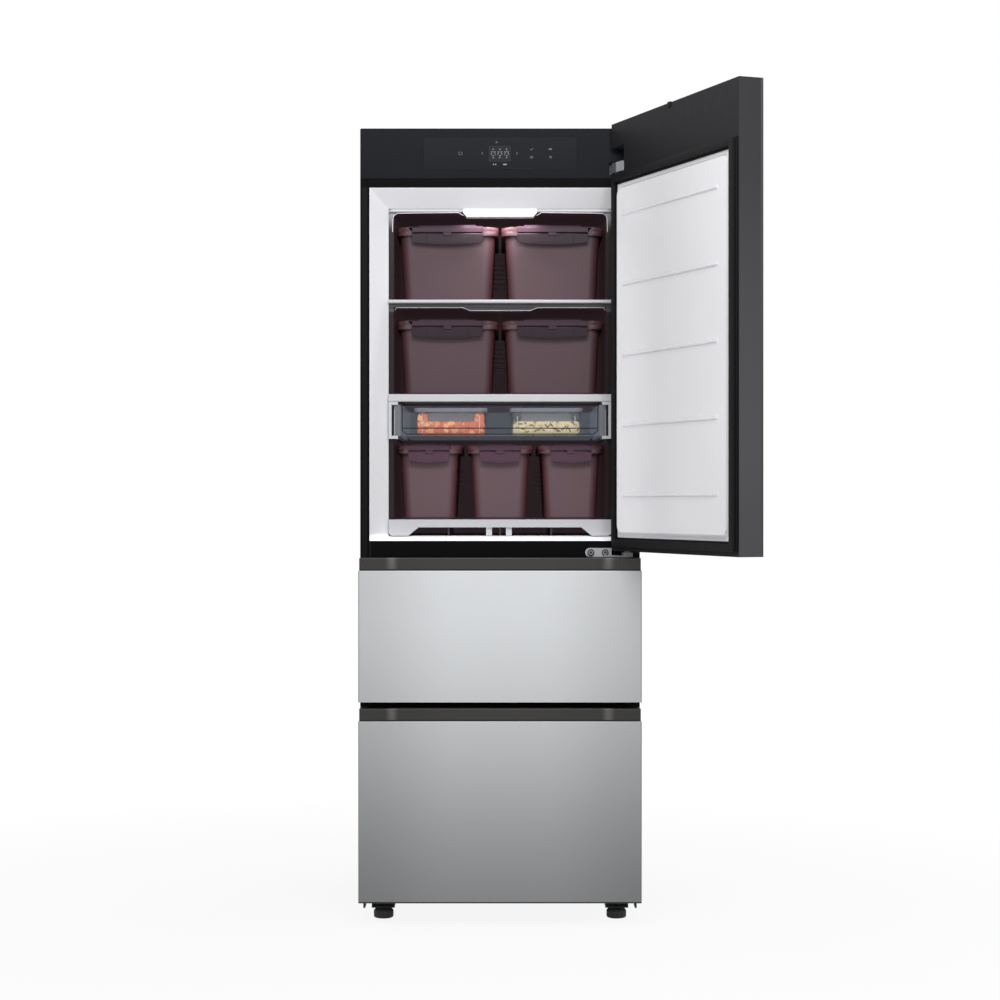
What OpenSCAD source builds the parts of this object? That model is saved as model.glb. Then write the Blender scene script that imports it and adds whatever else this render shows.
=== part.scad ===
// Stand-type kimchi refrigerator: a hinged upper door over shelves of lidded boxes, and two drawers.
// Millimetres. X to the right, Y to the back, Z up, with the left foot standing on the origin.
// Modules draw with X = 0 at the cabinet's middle and Y = 0 at the closed fronts, and are then placed.
// The upper door is drawn open, and everything that slides is drawn pushed in.

/* [Cabinet] */
// Width of the cabinet
cab_w = 660; // [640:1:720]
// Depth of the cabinet behind its front plane
cab_d = 664; // [640:1:700]
// Thickness of the outer sheet metal
sheet_t = 1.5; // [1:0.1:2.5]
// Underside of the cabinet above the floor
base_z = 38; // [36:0.5:50]
// Thickness of the base plate
base_t = 2; // [1.5:0.1:3]
// Thickness of the front frame
frame_t = 3; // [2:0.1:5]
// Width of the dark pillars beside the upper opening
pillar_w = 23.2; // [20:0.1:30]
// Height of the control panel
control_h = 118.2; // [100:0.1:140]
// Thickness of the control panel housing
control_t = 20; // [16:0.5:24]
// Black band between control panel and upper opening
band_h = 23.1; // [18:0.1:30]
// Width of the display window
display_w = 363; // [280:1:420]
// Height of the display window
display_h = 74.8; // [60:0.1:80]
// Bottom margin under the display window
display_margin = 21.5; // [12:0.1:24]

/* [Upper compartment] */
// Wall thickness of the liners
liner_t = 1.8; // [1.2:0.1:3]
// Width of the splayed border from front plane to throat
bevel_w = 42; // [36:0.1:50]
// Height of the splayed border above the throat
bevel_top = 43.7; // [36:0.1:50]
// Depth of the splayed border
bevel_d = 39; // [30:0.5:45]
// Rise of the splayed border at the sill
bevel_bottom = 10; // [6:0.1:16]
// Height of the sill above the door's lower edge
sill_h = 24.1; // [20:0.1:30]
// Step from throat to lined walls
lining_inset = 11; // [9:0.1:14]
// Step from throat to lined ceiling
lining_drop = 8; // [6:0.1:12]
// Thickness of the steel lining
lining_t = 1.2; // [0.8:0.1:2]
// Height of the floor tray above the sill
floor_h = 48.7; // [40:0.1:60]
// Thickness of the floor tray's deck
deck_t = 8; // [5:0.5:12]
// Width of the air gap under the floor tray's front
floor_gap_w = 386; // [300:2:400]
// Thickness of the lower shelf
low_shelf_t = 18.3; // [12:0.1:24]
// Thickness of the upper shelf
high_shelf_t = 8; // [6:0.1:12]
// Thickness of the shelf decks
shelf_deck_t = 6; // [4:0.5:8]
// Height of the air duct under the upper shelf
duct_h = 18.2; // [14:0.1:24]
// Depth of the air duct's drawn-down middle
duct_dip = 8.2; // [4:0.1:10]
// Space between box tops and the duct
duct_gap = 18; // [14:0.5:26]
// Space between box tops and the ceiling
ceiling_gap = 27.3; // [22:0.1:34]
// Insulation behind the upper liner
rear_wall = 93; // [80:1:110]
// Width of the ceiling lamp
lamp_w = 158; // [120:1:200]

/* [Boxes] */
// Height of a box with its lid
box_h = 180; // [160:1:200]
// Distance of the boxes behind the front plane
box_set = 79; // [70:1:90]
// Space behind the boxes
box_rear_gap = 25; // [15:1:60]
// Space between the two large boxes
large_gap = 6; // [4:0.5:12]
// Space between the three small boxes
small_gap = 12; // [8:0.5:16]
// Space between boxes and lined walls
box_side_gap = 4; // [3:0.5:8]
// Wall thickness of a box
box_t = 2.5; // [2:0.1:3.5]
// Width of a box's rim outside its body
rim_w = 9; // [7:0.1:12]
// Taper of a box's side from rim to base
box_taper = 8; // [4:0.5:10]
// Height of a lid's border
lid_h = 12; // [10:0.5:15]
// Height of a box's rim
rim_h = 10; // [8:0.5:12]
// Width of the latch on a large box
large_latch_w = 168.8; // [120:0.1:190]
// Width of the latch on a small box
small_latch_w = 98.2; // [70:0.1:120]
// Drop of the latch flap below its pivot
latch_drop = 25; // [20:0.5:30]
// Radius of the latch pivot pin
latch_pin_r = 1.5; // [1:0.1:1.8]

/* [Side dish tray] */
// Height of the tray's brackets
bracket_h = 87.7; // [80:0.1:100]
// Space between small boxes and brackets
bracket_gap = 11.7; // [9:0.1:18]
// Thickness of the bracket flanges
bracket_t = 7; // [5:0.1:9]
// Reach of the bracket flanges
bracket_w = 22; // [18:0.5:26]
// Wall thickness of the tray
tray_t = 2.5; // [2:0.1:3.5]
// Space between the side dish boxes and the tray's side walls
dish_margin = 33.3; // [12:0.1:40]
// Space between the two side dish boxes
dish_gap = 62; // [16:1:80]
// Shift of the side dish boxes from the middle
dish_shift = -3.5; // [-6:0.5:6]
// Depth of a side dish box
dish_d = 250; // [200:1:300]
// Height of a side dish box with its lid
dish_h = 63.5; // [50:0.5:64]

/* [Upper door] */
// Thickness of door and drawer fronts
front_t = 57; // [50:0.5:62]
// Thickness of the compressed gaskets
gasket_t = 14; // [12:0.5:18]
// Gap between door edge and cabinet side
door_inset = 2; // [1:0.5:4]
// Reach of the door above the cabinet
door_over = 4.8; // [2:0.1:8]
// Distance of the hinge axis from the door edge
axis_inset = 30; // [28:0.5:32]
// Distance of the hinge axis behind the door front
axis_y = 30; // [28:0.5:32]
// Radius of the hinge pins
pin_r = 4; // [3:0.1:5]
// Angle of the open door
door_angle = 111; // [95:1:112]
// Thickness of the door's outer skin
skin_t = 1.2; // [0.8:0.1:1.5]
// Wall of the pan behind the door's skin
pan_t = 3; // [2:0.1:4]
// Width of the door gasket
gasket_w = 22; // [18:0.5:24]
// Height of the raised part of the door liner
plug_h = 10; // [7:0.5:12]

/* [Drawers] */
// Lower edge of the lower drawer front above the floor
front_z = 50.3; // [49:0.1:60]
// Height of the lower drawer's steel panel
lower_panel_h = 424; // [400:1:460]
// Height of the middle drawer's steel panel
middle_panel_h = 307; // [280:1:360]
// Height of the handle trims
handle_h = 29.5; // [26:0.5:34]
// Gap between the two drawers
front_gap = 14.5; // [10:0.5:20]
// Gap between middle drawer and door
door_gap = 16; // [15:0.5:20]
// Depth of the finger channel
grip_d = 21; // [18:0.5:24]
// Length of the finger channel
grip_w = 500; // [400:5:560]
// Side wall beside the drawer compartments
drawer_wall = 40; // [38:0.5:50]
// Border above and below a drawer compartment
drawer_border = 29; // [28:0.5:36]
// Width of the fixed rails
rail_w = 12; // [10:0.5:14]
// Height of the fixed rails
rail_h = 36; // [30:1:44]
// Wall thickness of the drawer bins
bin_t = 2.5; // [2:0.1:4]
// Insulation behind the middle drawer
middle_rear_wall = 115; // [100:1:140]

/* [Machine compartment] */
// Depth of the machine compartment
machine_d = 172; // [168:1:180]
// Height of the machine compartment
machine_h = 288; // [270:1:310]
// Insulation in front of the machine compartment
machine_wall = 26; // [20:1:30]
// Radius of the compressor's shell
comp_r = 68; // [60:0.5:72]
// Height of the compressor's shell
comp_h = 150; // [130:1:165]
// Distance of the compressor's axis from the cabinet side
comp_set = 165; // [150:1:190]
// Radius of the condenser fan
fan_r = 58; // [50:0.5:60]
// Distance of the condenser's fins from the cabinet side
fin_set = 94; // [60:1:110]
// Number of condenser fins
fin_count = 18; // [12:1:22]
// Slots in each row of the rear cover
slot_count = 22; // [16:1:24]

/* [Feet] */
// Radius of the levelling feet
foot_r = 23.5; // [20:0.5:25]
// Height of the levelling feet's knobs
foot_h = 22; // [18:0.5:23]
// Distance of the feet from the cabinet's middle
foot_x = 276; // [250:1:285]
// Radius of the feet's studs
stud_r = 5; // [4:0.1:6]
// Radius of the rear rollers
roller_r = 18; // [14:0.5:18.5]
// Width of the rear rollers
roller_w = 22; // [16:1:26]

/* [Hidden] */

$fn = 64;
eps = 0.01;
seat = 0.3;

// Planes from front to back
half_w = cab_w / 2;
cab_y = front_t + gasket_t;
back_y = cab_y + cab_d;
foam_y0 = cab_y + frame_t;
foam_y1 = back_y - 2 * sheet_t;
throat_y = cab_y + bevel_d;
step_y = throat_y + 8;
bezel_y = step_y - 5;
liner_back = back_y - rear_wall;
cover_y = liner_back - 50;
bulge_y = cover_y - 12;

// Levels from the floor up
base_top = base_z + sheet_t + base_t;
lower_z0 = front_z;
lower_z1 = lower_z0 + lower_panel_h;
middle_z0 = lower_z1 + handle_h + front_gap;
middle_z1 = middle_z0 + middle_panel_h;
door_z0 = middle_z1 + handle_h + door_gap;
sill_z = door_z0 + sill_h;
floor_z = sill_z + bevel_bottom;
deck_z = sill_z + floor_h;
bracket_z = deck_z + box_h + bracket_gap;
low_shelf_z = bracket_z + bracket_h + low_shelf_t;
duct_z = low_shelf_z + box_h + duct_gap;
high_shelf_z = duct_z + duct_h + high_shelf_t;
ceiling_z = high_shelf_z + box_h + ceiling_gap;
inner_top = ceiling_z + lining_t;
throat_top = inner_top + lining_drop;
flange_top = throat_top + bevel_top;
control_z = flange_top + band_h;
cab_h = control_z + control_h;
door_z1 = cab_h + door_over;

// Half widths inside the upper compartment
flange_half = half_w - pillar_w;
throat_half = flange_half - bevel_w;
inner_half = throat_half - lining_inset;
lined_half = inner_half - lining_t;

// Drawer compartments
opening_half = half_w - drawer_wall;
lower_open = [lower_z0 + drawer_border + 10, lower_z1 + handle_h - drawer_border];
middle_open = [middle_z0 + drawer_border, middle_z1 + handle_h - drawer_border];
machine_y = back_y - machine_d;
machine_z = base_top + machine_h;
lower_back = machine_y - machine_wall;
middle_back = back_y - middle_rear_wall;
fan_y = (machine_y + back_y) / 2 - 1;
fan_z = base_top + 114;
fin_pitch = 8;
fin_x = half_w - fin_set - fin_count * fin_pitch;
shroud_x = fin_x - 26;
fan_h = 18;
fan_x = shroud_x - 6 - fan_h;
shaft_r = 3;
rail_y0 = foam_y0 + 6;
bin_half = opening_half - rail_w - 6.5;
rail_drop = 96;

// Door
skin_edge = 6;
pull_y = 12;
door_half = half_w - door_inset;
axis_x = door_half - axis_inset;
gasket_z0 = door_z0 + 10;
gasket_z1 = control_z - 1;
gasket_tip = gasket_t - 0.6;
gasket_right = axis_x + 3;
gasket_left = -(door_half - 6);
gasket_lip = 12;
recess_z = [control_z + 5, control_z + 68];
arm_z = [recess_z[0] + 7, recess_z[0] + 30];
plate_x = [axis_x - 58, axis_x + 24];
plate_z = [recess_z[0] - 2, recess_z[0] + 38];
plate_t = 4;
pin_reach = 16;
rib_pitch = (flange_top - sill_z - 182) / 4;

// Boxes
box_y = cab_y + box_set;
box_d = bulge_y - box_rear_gap - box_y;
row_w = 2 * (lined_half - box_side_gap);
large_w = (row_w - large_gap) / 2;
small_w = (row_w - 2 * small_gap) / 3;
large_x = (large_w + large_gap) / 2;
small_x = small_w + small_gap;
split_z = box_h - lid_h;
pivot_z = split_z - 7.5;
pivot_y = -5;
latch_t = 3.7;

// Side dish tray
tray_half = lined_half - 20.8;
tray_y0 = throat_y - 8;
tray_y1 = bulge_y - 60;
tray_z0 = bracket_z + bracket_t + seat;
tray_z1 = bracket_z + bracket_h - bracket_t - 2.5;
dish_w = tray_half - tray_t - dish_margin - dish_gap / 2;

// Feet
foot_y = cab_y + 30;
hat_z = foot_h + 4.5;
roller_x = foot_x - 26;
cover_inset = 25;
roller_y = back_y - 50;
axle_r = 4;
stud_over = 4;

// Helpers ---------------------------------------------------------------------------------------

// Box between its low and high corners
module slab(low, high) {
    translate(low) cube(high - low);
}

// The same piece on the right and, mirrored, on the left
module both_sides() {
    children();
    mirror([1, 0, 0]) children();
}

// The points of a right half, closed by the same points on the left
function mirrored(points) =
    concat(points, [for (i = [len(points) - 1 : -1 : 0]) [-points[i][0], points[i][1]]]);

// Outline in X and Z drawn out along Y
module along_y(y0, y1) {
    translate([0, y1, 0]) rotate([90, 0, 0]) linear_extrude(y1 - y0) children();
}

// Outline in Y and Z drawn out along X
module along_x(x0, x1) {
    translate([x0, 0, 0]) rotate([90, 0, 90]) linear_extrude(x1 - x0) children();
}

// Rectangle between two corners
module area(low, high) {
    translate(low) square(high - low);
}

// Rectangle with round corners, between two corners
module round_area(low, high, r) {
    area([low[0] + r, low[1]], [high[0] - r, high[1]]);
    area([low[0], low[1] + r], [high[0], high[1] - r]);
    for (x = [low[0] + r, high[0] - r], y = [low[1] + r, high[1] - r]) {
        translate([x, y]) circle(r);
    }
}

// Round-cornered rectangle centred on X, with its front edge at Y = 0
module plan(w, d, r) {
    round_area([-w / 2, 0], [w / 2, d], r);
}

// Upper compartment's space, grown by the wall
module upper_space(grow) {
    intersection() {
        translate([0, 0, sill_z - 50]) linear_extrude(cab_h) polygon(mirrored([
            [flange_half + grow, cab_y - eps],
            [flange_half + grow, cab_y],
            [throat_half + grow, throat_y],
            [throat_half + grow, step_y + grow],
            [inner_half + grow, step_y + grow],
            [inner_half + grow, liner_back + grow]
        ]));
        along_x(-half_w, half_w) polygon([
            [cab_y - eps, sill_z - grow],
            [cab_y, sill_z - grow],
            [throat_y, floor_z - grow],
            [liner_back + grow, floor_z - grow],
            [liner_back + grow, inner_top + grow],
            [step_y + grow, inner_top + grow],
            [step_y + grow, throat_top + grow],
            [throat_y, throat_top + grow],
            [cab_y, flange_top + grow],
            [cab_y - eps, flange_top + grow]
        ]);
    }
}

// A drawer compartment's space, grown by the wall
module drawer_space(open, back, grow) {
    slab([-opening_half - grow, cab_y - eps, open[0] - grow],
         [opening_half + grow, back + grow, open[1] + grow]);
}

// Cabinet ---------------------------------------------------------------------------------------

// Outer sheet metal wrapped over the top and both sides, turned in at the bottom
module cabinet_shell() {
    inner = half_w - sheet_t;
    turned = 6;
    color("#48484a") along_y(cab_y, back_y - 2 * sheet_t) difference() {
        round_area([-half_w, base_z], [half_w, cab_h], 3);
        area([-inner, base_z + sheet_t], [inner, cab_h - sheet_t]);
        area([-half_w + turned, base_z - 1], [half_w - turned, base_z + sheet_t + 1]);
    }
}

// Rear sheet with pressed vertical beads and the opening of the machine compartment
module back_panel() {
    bead_r = 8;
    bead_z = machine_z + 60;
    bead_h = cab_h - 80 - bead_z;
    side = half_w - sheet_t;
    color("gainsboro") difference() {
        union() {
            slab([-side, back_y - 2 * sheet_t, base_top], [side, back_y - sheet_t, cab_h - sheet_t]);
            for (i = [-2 : 2]) intersection() {
                translate([i * cab_w / 6, back_y - bead_r, bead_z]) cylinder(r = bead_r, h = bead_h);
                slab([-half_w, back_y - sheet_t - eps, base_top], [half_w, back_y, cab_h]);
            }
        }
        slab([-half_w + cover_inset, back_y - 3 * sheet_t, base_top + 10],
             [half_w - cover_inset, back_y + 1, machine_z - 5]);
    }
}

// Base plate with the foot brackets in front and the roller cheeks behind
module base_pan() {
    under = base_z + sheet_t + eps;
    hat_half = [27, 24];
    hat_t = 3;
    cheek_t = 2.5;
    cheek_r = 12;
    cheek_x = roller_w / 2 + cheek_t / 2 + 1;
    color("dimgray") difference() {
        union() {
            slab([-half_w + sheet_t, foam_y0, base_z + sheet_t], [half_w - sheet_t, foam_y1, base_top]);
            both_sides() {
                // Hat-shaped foot bracket
                translate([foot_x, foot_y, 0]) {
                    slab([-hat_half[0], -hat_half[1], hat_z], [hat_half[0], hat_half[1], hat_z + hat_t]);
                    for (x = [-hat_half[0], hat_half[0] - hat_t]) {
                        slab([x, -hat_half[1], hat_z], [x + hat_t, hat_half[1], under]);
                    }
                }
                // Turned-down edge outside the bracket
                slab([half_w - 11.5, foot_y - hat_half[1], base_z - 12],
                     [half_w - 7, foot_y + hat_half[1], under]);
                // Cheeks of a roller
                for (x = [-cheek_x, cheek_x]) {
                    translate([roller_x + x, roller_y, 0]) along_x(-cheek_t / 2, cheek_t / 2) {
                        translate([0, roller_r]) circle(cheek_r);
                        area([-cheek_r, roller_r], [cheek_r, under]);
                    }
                }
            }
        }
        both_sides() {
            translate([foot_x, foot_y, hat_z - 1]) cylinder(r = stud_r + seat, h = base_top - hat_z + 2);
            translate([0, roller_y, roller_r]) rotate([0, 90, 0]) cylinder(r = axle_r + seat, h = half_w);
        }
    }
}

// Foamed body between outer sheet and liners
module insulation() {
    side = half_w - sheet_t;
    color("lightyellow") difference() {
        slab([-side, foam_y0, base_top], [side, foam_y1, cab_h - sheet_t]);
        upper_space(liner_t);
        drawer_space(middle_open, middle_back, liner_t);
        drawer_space(lower_open, lower_back, liner_t);
        slab([-side - 1, machine_y, base_top - 1], [side + 1, back_y, machine_z]);
        slab([-side - 1, cab_y, control_z], [side + 1, cab_y + control_t, cab_h]);
        // Pocket of the upper hinge's plate
        slab([plate_x[0] - 1, cab_y + control_t - 1, plate_z[0] - 1],
             [plate_x[1] + 1, cab_y + control_t + plate_t, plate_z[1] + 1]);
        // Room over the foot studs
        both_sides() translate([foot_x, foot_y, base_top - 1]) cylinder(r = stud_r + 3, h = stud_over + 12);
    }
}

// Flat dark frame around the three openings, with a fine groove down each pillar
module front_frame() {
    side = half_w - sheet_t;
    color("#1f1f20") difference() {
        slab([-side, cab_y, base_z + sheet_t], [side, foam_y0, control_z]);
        upper_space(liner_t);
        drawer_space(middle_open, middle_back, liner_t);
        drawer_space(lower_open, lower_back, liner_t);
        both_sides() slab([flange_half + 4.2, cab_y - 1, sill_z - 40],
                          [flange_half + 5.6, cab_y + 1, control_z + 1]);
    }
}

// Dark control panel above the opening, a hollow moulding with a seat for the display
module control_panel() {
    side = half_w - sheet_t;
    wall = 2.5;
    top = cab_h - sheet_t;
    color("#24272b") difference() {
        slab([-side, cab_y, control_z], [side, cab_y + control_t, top]);
        slab([-side + wall, cab_y + 4, control_z + wall], [side - wall, cab_y + control_t + 1, top - wall]);
        slab([-display_w / 2, cab_y - 1, control_z + display_margin],
             [display_w / 2, cab_y + 2, control_z + display_margin + display_h]);
        slab([axis_x - 40, cab_y - 1, arm_z[0] - 3], [axis_x + 13, cab_y + control_t + 1, arm_z[1] + 3]);
    }
}

// Thin dark window over the display
module display_window() {
    color("#1c1e24") slab([-display_w / 2, cab_y - 0.3, control_z + display_margin],
                          [display_w / 2, cab_y + 2, control_z + display_margin + display_h]);
}

// White moulded liners: the upper one with its splayed border, and those of the two drawers
module compartment_liners() {
    color("whitesmoke") {
        upper_liner();
        drawer_liner(middle_open, middle_back);
        drawer_liner(lower_open, lower_back);
    }
}

module upper_liner() {
    difference() {
        intersection() {
            upper_space(liner_t);
            slab([-half_w, cab_y, 0], [half_w, back_y, cab_h]);
        }
        upper_space(0);
    }
}

module drawer_liner(open, back) {
    difference() {
        intersection() {
            drawer_space(open, back, liner_t);
            slab([-half_w, cab_y, 0], [half_w, back_y, cab_h]);
        }
        drawer_space(open, back, 0);
    }
}

// Outline of an upside-down U with round upper corners
module arch(half, bottom, top, r) {
    area([-half, bottom], [half, top - r]);
    area([-half + r, bottom], [half - r, top]);
    for (x = [-1, 1]) translate([x * (half - r), top - r]) circle(r);
}

// Dark steel walls and ceiling, the bezel in front of them and the air duct under the upper shelf
module steel_lining() {
    corner = 10;
    duct_t = 1.5;
    duct_y = bezel_y + 4;
    color("#3a3a3e") {
        along_y(step_y, cover_y) difference() {
            arch(inner_half, floor_z, inner_top, 2);
            arch(lined_half, floor_z - 1, ceiling_z, corner - lining_t);
        }
        along_y(bezel_y, step_y) difference() {
            arch(throat_half - 0.2, floor_z, throat_top - 0.2, corner);
            arch(lined_half, floor_z - 1, ceiling_z, corner - lining_t);
        }
        // Air duct with a drawn-down middle, open above and behind
        along_y(duct_y, bulge_y - 1) difference() {
            duct_outline(0);
            translate([0, eps]) duct_outline(duct_t);
        }
        along_y(duct_y - duct_t, duct_y + eps) duct_outline(0);
    }
}

// Outline of the air duct under the upper shelf, set in by a wall
module duct_outline(wall) {
    half = lined_half - 0.4 - wall;
    edge_z = duct_z + duct_dip + wall;
    top = high_shelf_z - shelf_deck_t;
    polygon(mirrored([
        [half, top],
        [half, edge_z],
        [88 - wall / 2, edge_z],
        [72 - wall / 2, duct_z + wall]
    ]));
}

// Lamp lens under the front of the ceiling and up over the bezel
module ceiling_lamp() {
    lens_h = 8.6;
    foot = lamp_w / 2;
    top = foot + 8;
    color("white") {
        along_y(bezel_y - 5, bezel_y + 36)
            polygon(mirrored([[top, ceiling_z], [foot, ceiling_z - lens_h]]));
        along_y(bezel_y - 5, bezel_y) area([-top, ceiling_z - eps], [top, throat_top - 0.5]);
    }
}

// Shelf with a rounded front strip as wide as the throat
module shelf(top, strip_h) {
    strip_y = throat_y - 12;
    deck_half = lined_half - 0.4;
    strip_r = 3;
    translate([0, 0, top]) {
        along_x(-throat_half + 0.5, throat_half - 0.5) {
            round_area([strip_y, -strip_h], [bezel_y, 0], strip_r);
            area([strip_y + strip_r, -strip_h], [bezel_y, 0]);
        }
        slab([-deck_half, bezel_y - eps, -shelf_deck_t], [deck_half, bulge_y - 1, 0]);
    }
}

// C-shaped bracket of the side dish tray: a wide front and a narrower rail behind it
module tray_bracket() {
    outer = throat_half - 0.5;
    rail = lined_half - 0.4;
    reach = outer - bracket_w;
    z0 = bracket_z;
    z1 = bracket_z + bracket_h;
    along_y(throat_y - 12, bezel_y) difference() {
        area([reach, z0], [outer, z1]);
        area([reach - 1, z0 + bracket_t], [outer - bracket_t, z1 - bracket_t]);
    }
    along_y(bezel_y - eps, tray_y1 + 10) difference() {
        area([reach, z0], [rail, z1]);
        area([reach - 1, z0 + bracket_t], [rail - 2.5, z1 - bracket_t]);
    }
}

// The two shelves, with the tray's brackets under the lower one
module shelves() {
    color("gainsboro") {
        shelf(high_shelf_z, high_shelf_t);
        shelf(low_shelf_z, low_shelf_t);
        both_sides() tray_bracket();
    }
}

// Floor tray: a deck on ribs behind an apron with a wide air gap and two posts
module floor_tray() {
    apron_y = throat_y - 12;
    gap_half = floor_gap_w / 2;
    gap_slope = 26;
    gap_top = deck_z - 18.5;
    foot_z = floor_z + seat;
    deck_half = lined_half - 0.4;
    color("gainsboro") {
        along_y(apron_y, bezel_y) {
            difference() {
                round_area([-throat_half + 0.5, foot_z], [throat_half - 0.5, deck_z], 10);
                polygon(mirrored([[gap_half + gap_slope, foot_z - 1], [gap_half, gap_top]]));
            }
            area([-throat_half + 0.5, deck_z - 12], [throat_half - 0.5, deck_z]);
        }
        slab([-deck_half, bezel_y - eps, deck_z - deck_t], [deck_half, bulge_y - 1, deck_z]);
        for (x = [-26, 21]) slab([x - 7, apron_y + 6, foot_z], [x + 7, apron_y + 9, gap_top + eps]);
        for (x = [-deck_half + 2, -122, 0, 122, deck_half - 2]) {
            slab([x - 2, bezel_y + 2, foot_z], [x + 2, bulge_y - 1, deck_z - deck_t + eps]);
        }
    }
}

// Rear air duct cover with a central bulge and rows of slots
module rear_duct_cover() {
    half = lined_half - 0.4;
    bulge = 58;
    rows = [deck_z + 70, low_shelf_z + 90, high_shelf_z + 70];
    color("#2c2d30") difference() {
        union() {
            slab([-half, cover_y, floor_z + seat], [half, cover_y + 3, ceiling_z - seat]);
            slab([-bulge, bulge_y, floor_z + seat], [bulge, cover_y + eps, ceiling_z - seat]);
        }
        slab([-bulge + 3, bulge_y + 3, floor_z + 6], [bulge - 3, cover_y + 4, ceiling_z - 6]);
        for (z = rows, i = [0 : 4], side = [-1, 1]) {
            translate([side * 145, cover_y + 1.5, z + i * 12]) cube([110, 8, 5], center = true);
        }
        for (z = rows, i = [0 : 5]) {
            translate([0, bulge_y + 1.5, z + i * 12]) cube([70, 8, 5], center = true);
        }
    }
}

// Fixed rails, a channel on each side wall of each drawer compartment
module drawer_rails() {
    color("lightgray") both_sides() {
        fixed_rail(middle_z1 - rail_drop, middle_back);
        fixed_rail(lower_z1 - rail_drop, lower_back);
    }
}

module fixed_rail(z, back) {
    web = 2;
    along_y(rail_y0, back - 10) difference() {
        area([opening_half - rail_w, z], [opening_half, z + rail_h]);
        area([opening_half - rail_w - 1, z + 3], [opening_half - web, z + rail_h - 3]);
    }
}

// Machine compartment ---------------------------------------------------------------------------

// Hermetic compressor on its rubber-footed plate
module compressor() {
    x = -half_w + comp_set;
    y = machine_y + machine_d / 2 - 4;
    plate_z = base_top + 9;
    seam_z = comp_h * 0.52;
    plate_half = [comp_r + 24, comp_r - 6];
    foot_at = [comp_r + 8, comp_r - 22];
    color("#26272a") translate([x, y, 0]) {
        translate([0, 0, plate_z]) difference() {
            linear_extrude(3) round_area(-plate_half, plate_half, 14);
            for (sx = [-1, 1], sy = [-1, 1]) translate([sx * foot_at[0], sy * foot_at[1], -1])
                cylinder(r = 5, h = 5);
        }
        for (sx = [-1, 1], sy = [-1, 1]) translate([sx * foot_at[0], sy * foot_at[1], base_top]) {
            cylinder(r = 11, h = 9);
            cylinder(r = 4.8, h = 18);
            translate([0, 0, 12]) cylinder(r = 9, h = 5);
        }
        // Lower bowl, weld seam and dome
        translate([0, 0, plate_z + 3 - eps]) rotate_extrude() {
            area([0, 0], [comp_r * 0.8, seam_z]);
            area([0, comp_r * 0.2], [comp_r, seam_z]);
            translate([comp_r * 0.8, comp_r * 0.2]) circle(comp_r * 0.2);
            area([0, seam_z - 3], [comp_r + 4, seam_z + 3]);
        }
        translate([0, 0, plate_z + seam_z]) intersection() {
            translate([0, 0, comp_h - seam_z - comp_r - 22]) sphere(comp_r + 22);
            cylinder(r = comp_r - 1, h = comp_h);
        }
        // Terminal box and pipe stubs
        slab([comp_r - 16, -24, plate_z + 30], [comp_r + 20, 24, plate_z + 78]);
        for (a = [115, 145, 250]) rotate([0, 0, a]) translate([comp_r - 14, 0, plate_z + 56]) {
            rotate([0, 90, 0]) cylinder(r = 4, h = 28);
        }
    }
}

// Finned condenser, its shroud and the fan's motor
module condenser() {
    x0 = fin_x;
    shroud = fan_r + 3;
    y0 = fan_y - shroud;
    y1 = fan_y + shroud;
    z0 = base_top + seat;
    z1 = machine_z - 60;
    fin_t = 1;
    tube_r = 4;
    tube_y = [y0 + 26, y1 - 26];
    tube_pitch = 38;
    tube_z = [for (i = [0 : 4]) z0 + 26 + i * tube_pitch];
    xe = x0 + fin_count * fin_pitch;
    color("#303236") {
        for (i = [0 : fin_count - 1]) {
            translate([x0 + i * fin_pitch, 0, 0]) slab([0, y0, z0], [fin_t, y1, z1]);
        }
        for (y = tube_y, z = tube_z) {
            translate([x0 - 8, y, z]) rotate([0, 90, 0]) cylinder(r = tube_r, h = xe - x0 + 8);
        }
        // Return bends at alternate ends
        for (y = tube_y, i = [0 : len(tube_z) - 2]) {
            right = i % 2 == 0;
            translate([right ? xe : x0 - 8, y, tube_z[i] + tube_pitch / 2]) rotate([90, 0, 0])
                rotate([0, 0, right ? -90 : 90])
                    rotate_extrude(angle = 180) translate([tube_pitch / 2, 0]) circle(tube_r);
        }
    }
    color("#202124") {
        // Shroud plate with the fan's round opening
        difference() {
            slab([shroud_x, y0 - 6, z0], [shroud_x + 10, y1 + 6, z1]);
            translate([shroud_x - 4, fan_y, fan_z]) rotate([0, 90, 0]) cylinder(r = fan_r + 4, h = 20);
        }
        // Motor, its shaft and four arms
        translate([shroud_x, fan_y, fan_z]) rotate([0, 90, 0]) {
            cylinder(r = 20, h = 24);
            translate([0, 0, fan_x - shroud_x - 2]) cylinder(r = shaft_r, h = shroud_x - fan_x + 3);
            for (a = [45 : 90 : 315]) rotate([0, 0, a]) slab([17, -3, 6], [fan_r + 6, 3, 10]);
        }
    }
}

// Five-bladed axial fan on the motor's shaft
module condenser_fan() {
    hub_r = 17;
    color("#3c3d40") translate([fan_x, fan_y, fan_z]) rotate([0, 90, 0]) difference() {
        union() {
            cylinder(r = hub_r, h = fan_h);
            intersection() {
                translate([0, 0, -4]) cylinder(r = fan_r, h = fan_h + 8);
                for (a = [0 : 72 : 288]) rotate([0, 0, a]) translate([hub_r - 3, 0, 9]) rotate([32, 0, 0])
                    slab([0, -17, -1], [fan_r, 17, 1]);
            }
        }
        translate([0, 0, -6]) cylinder(r = shaft_r + seat / 3, h = 40);
    }
}

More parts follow.
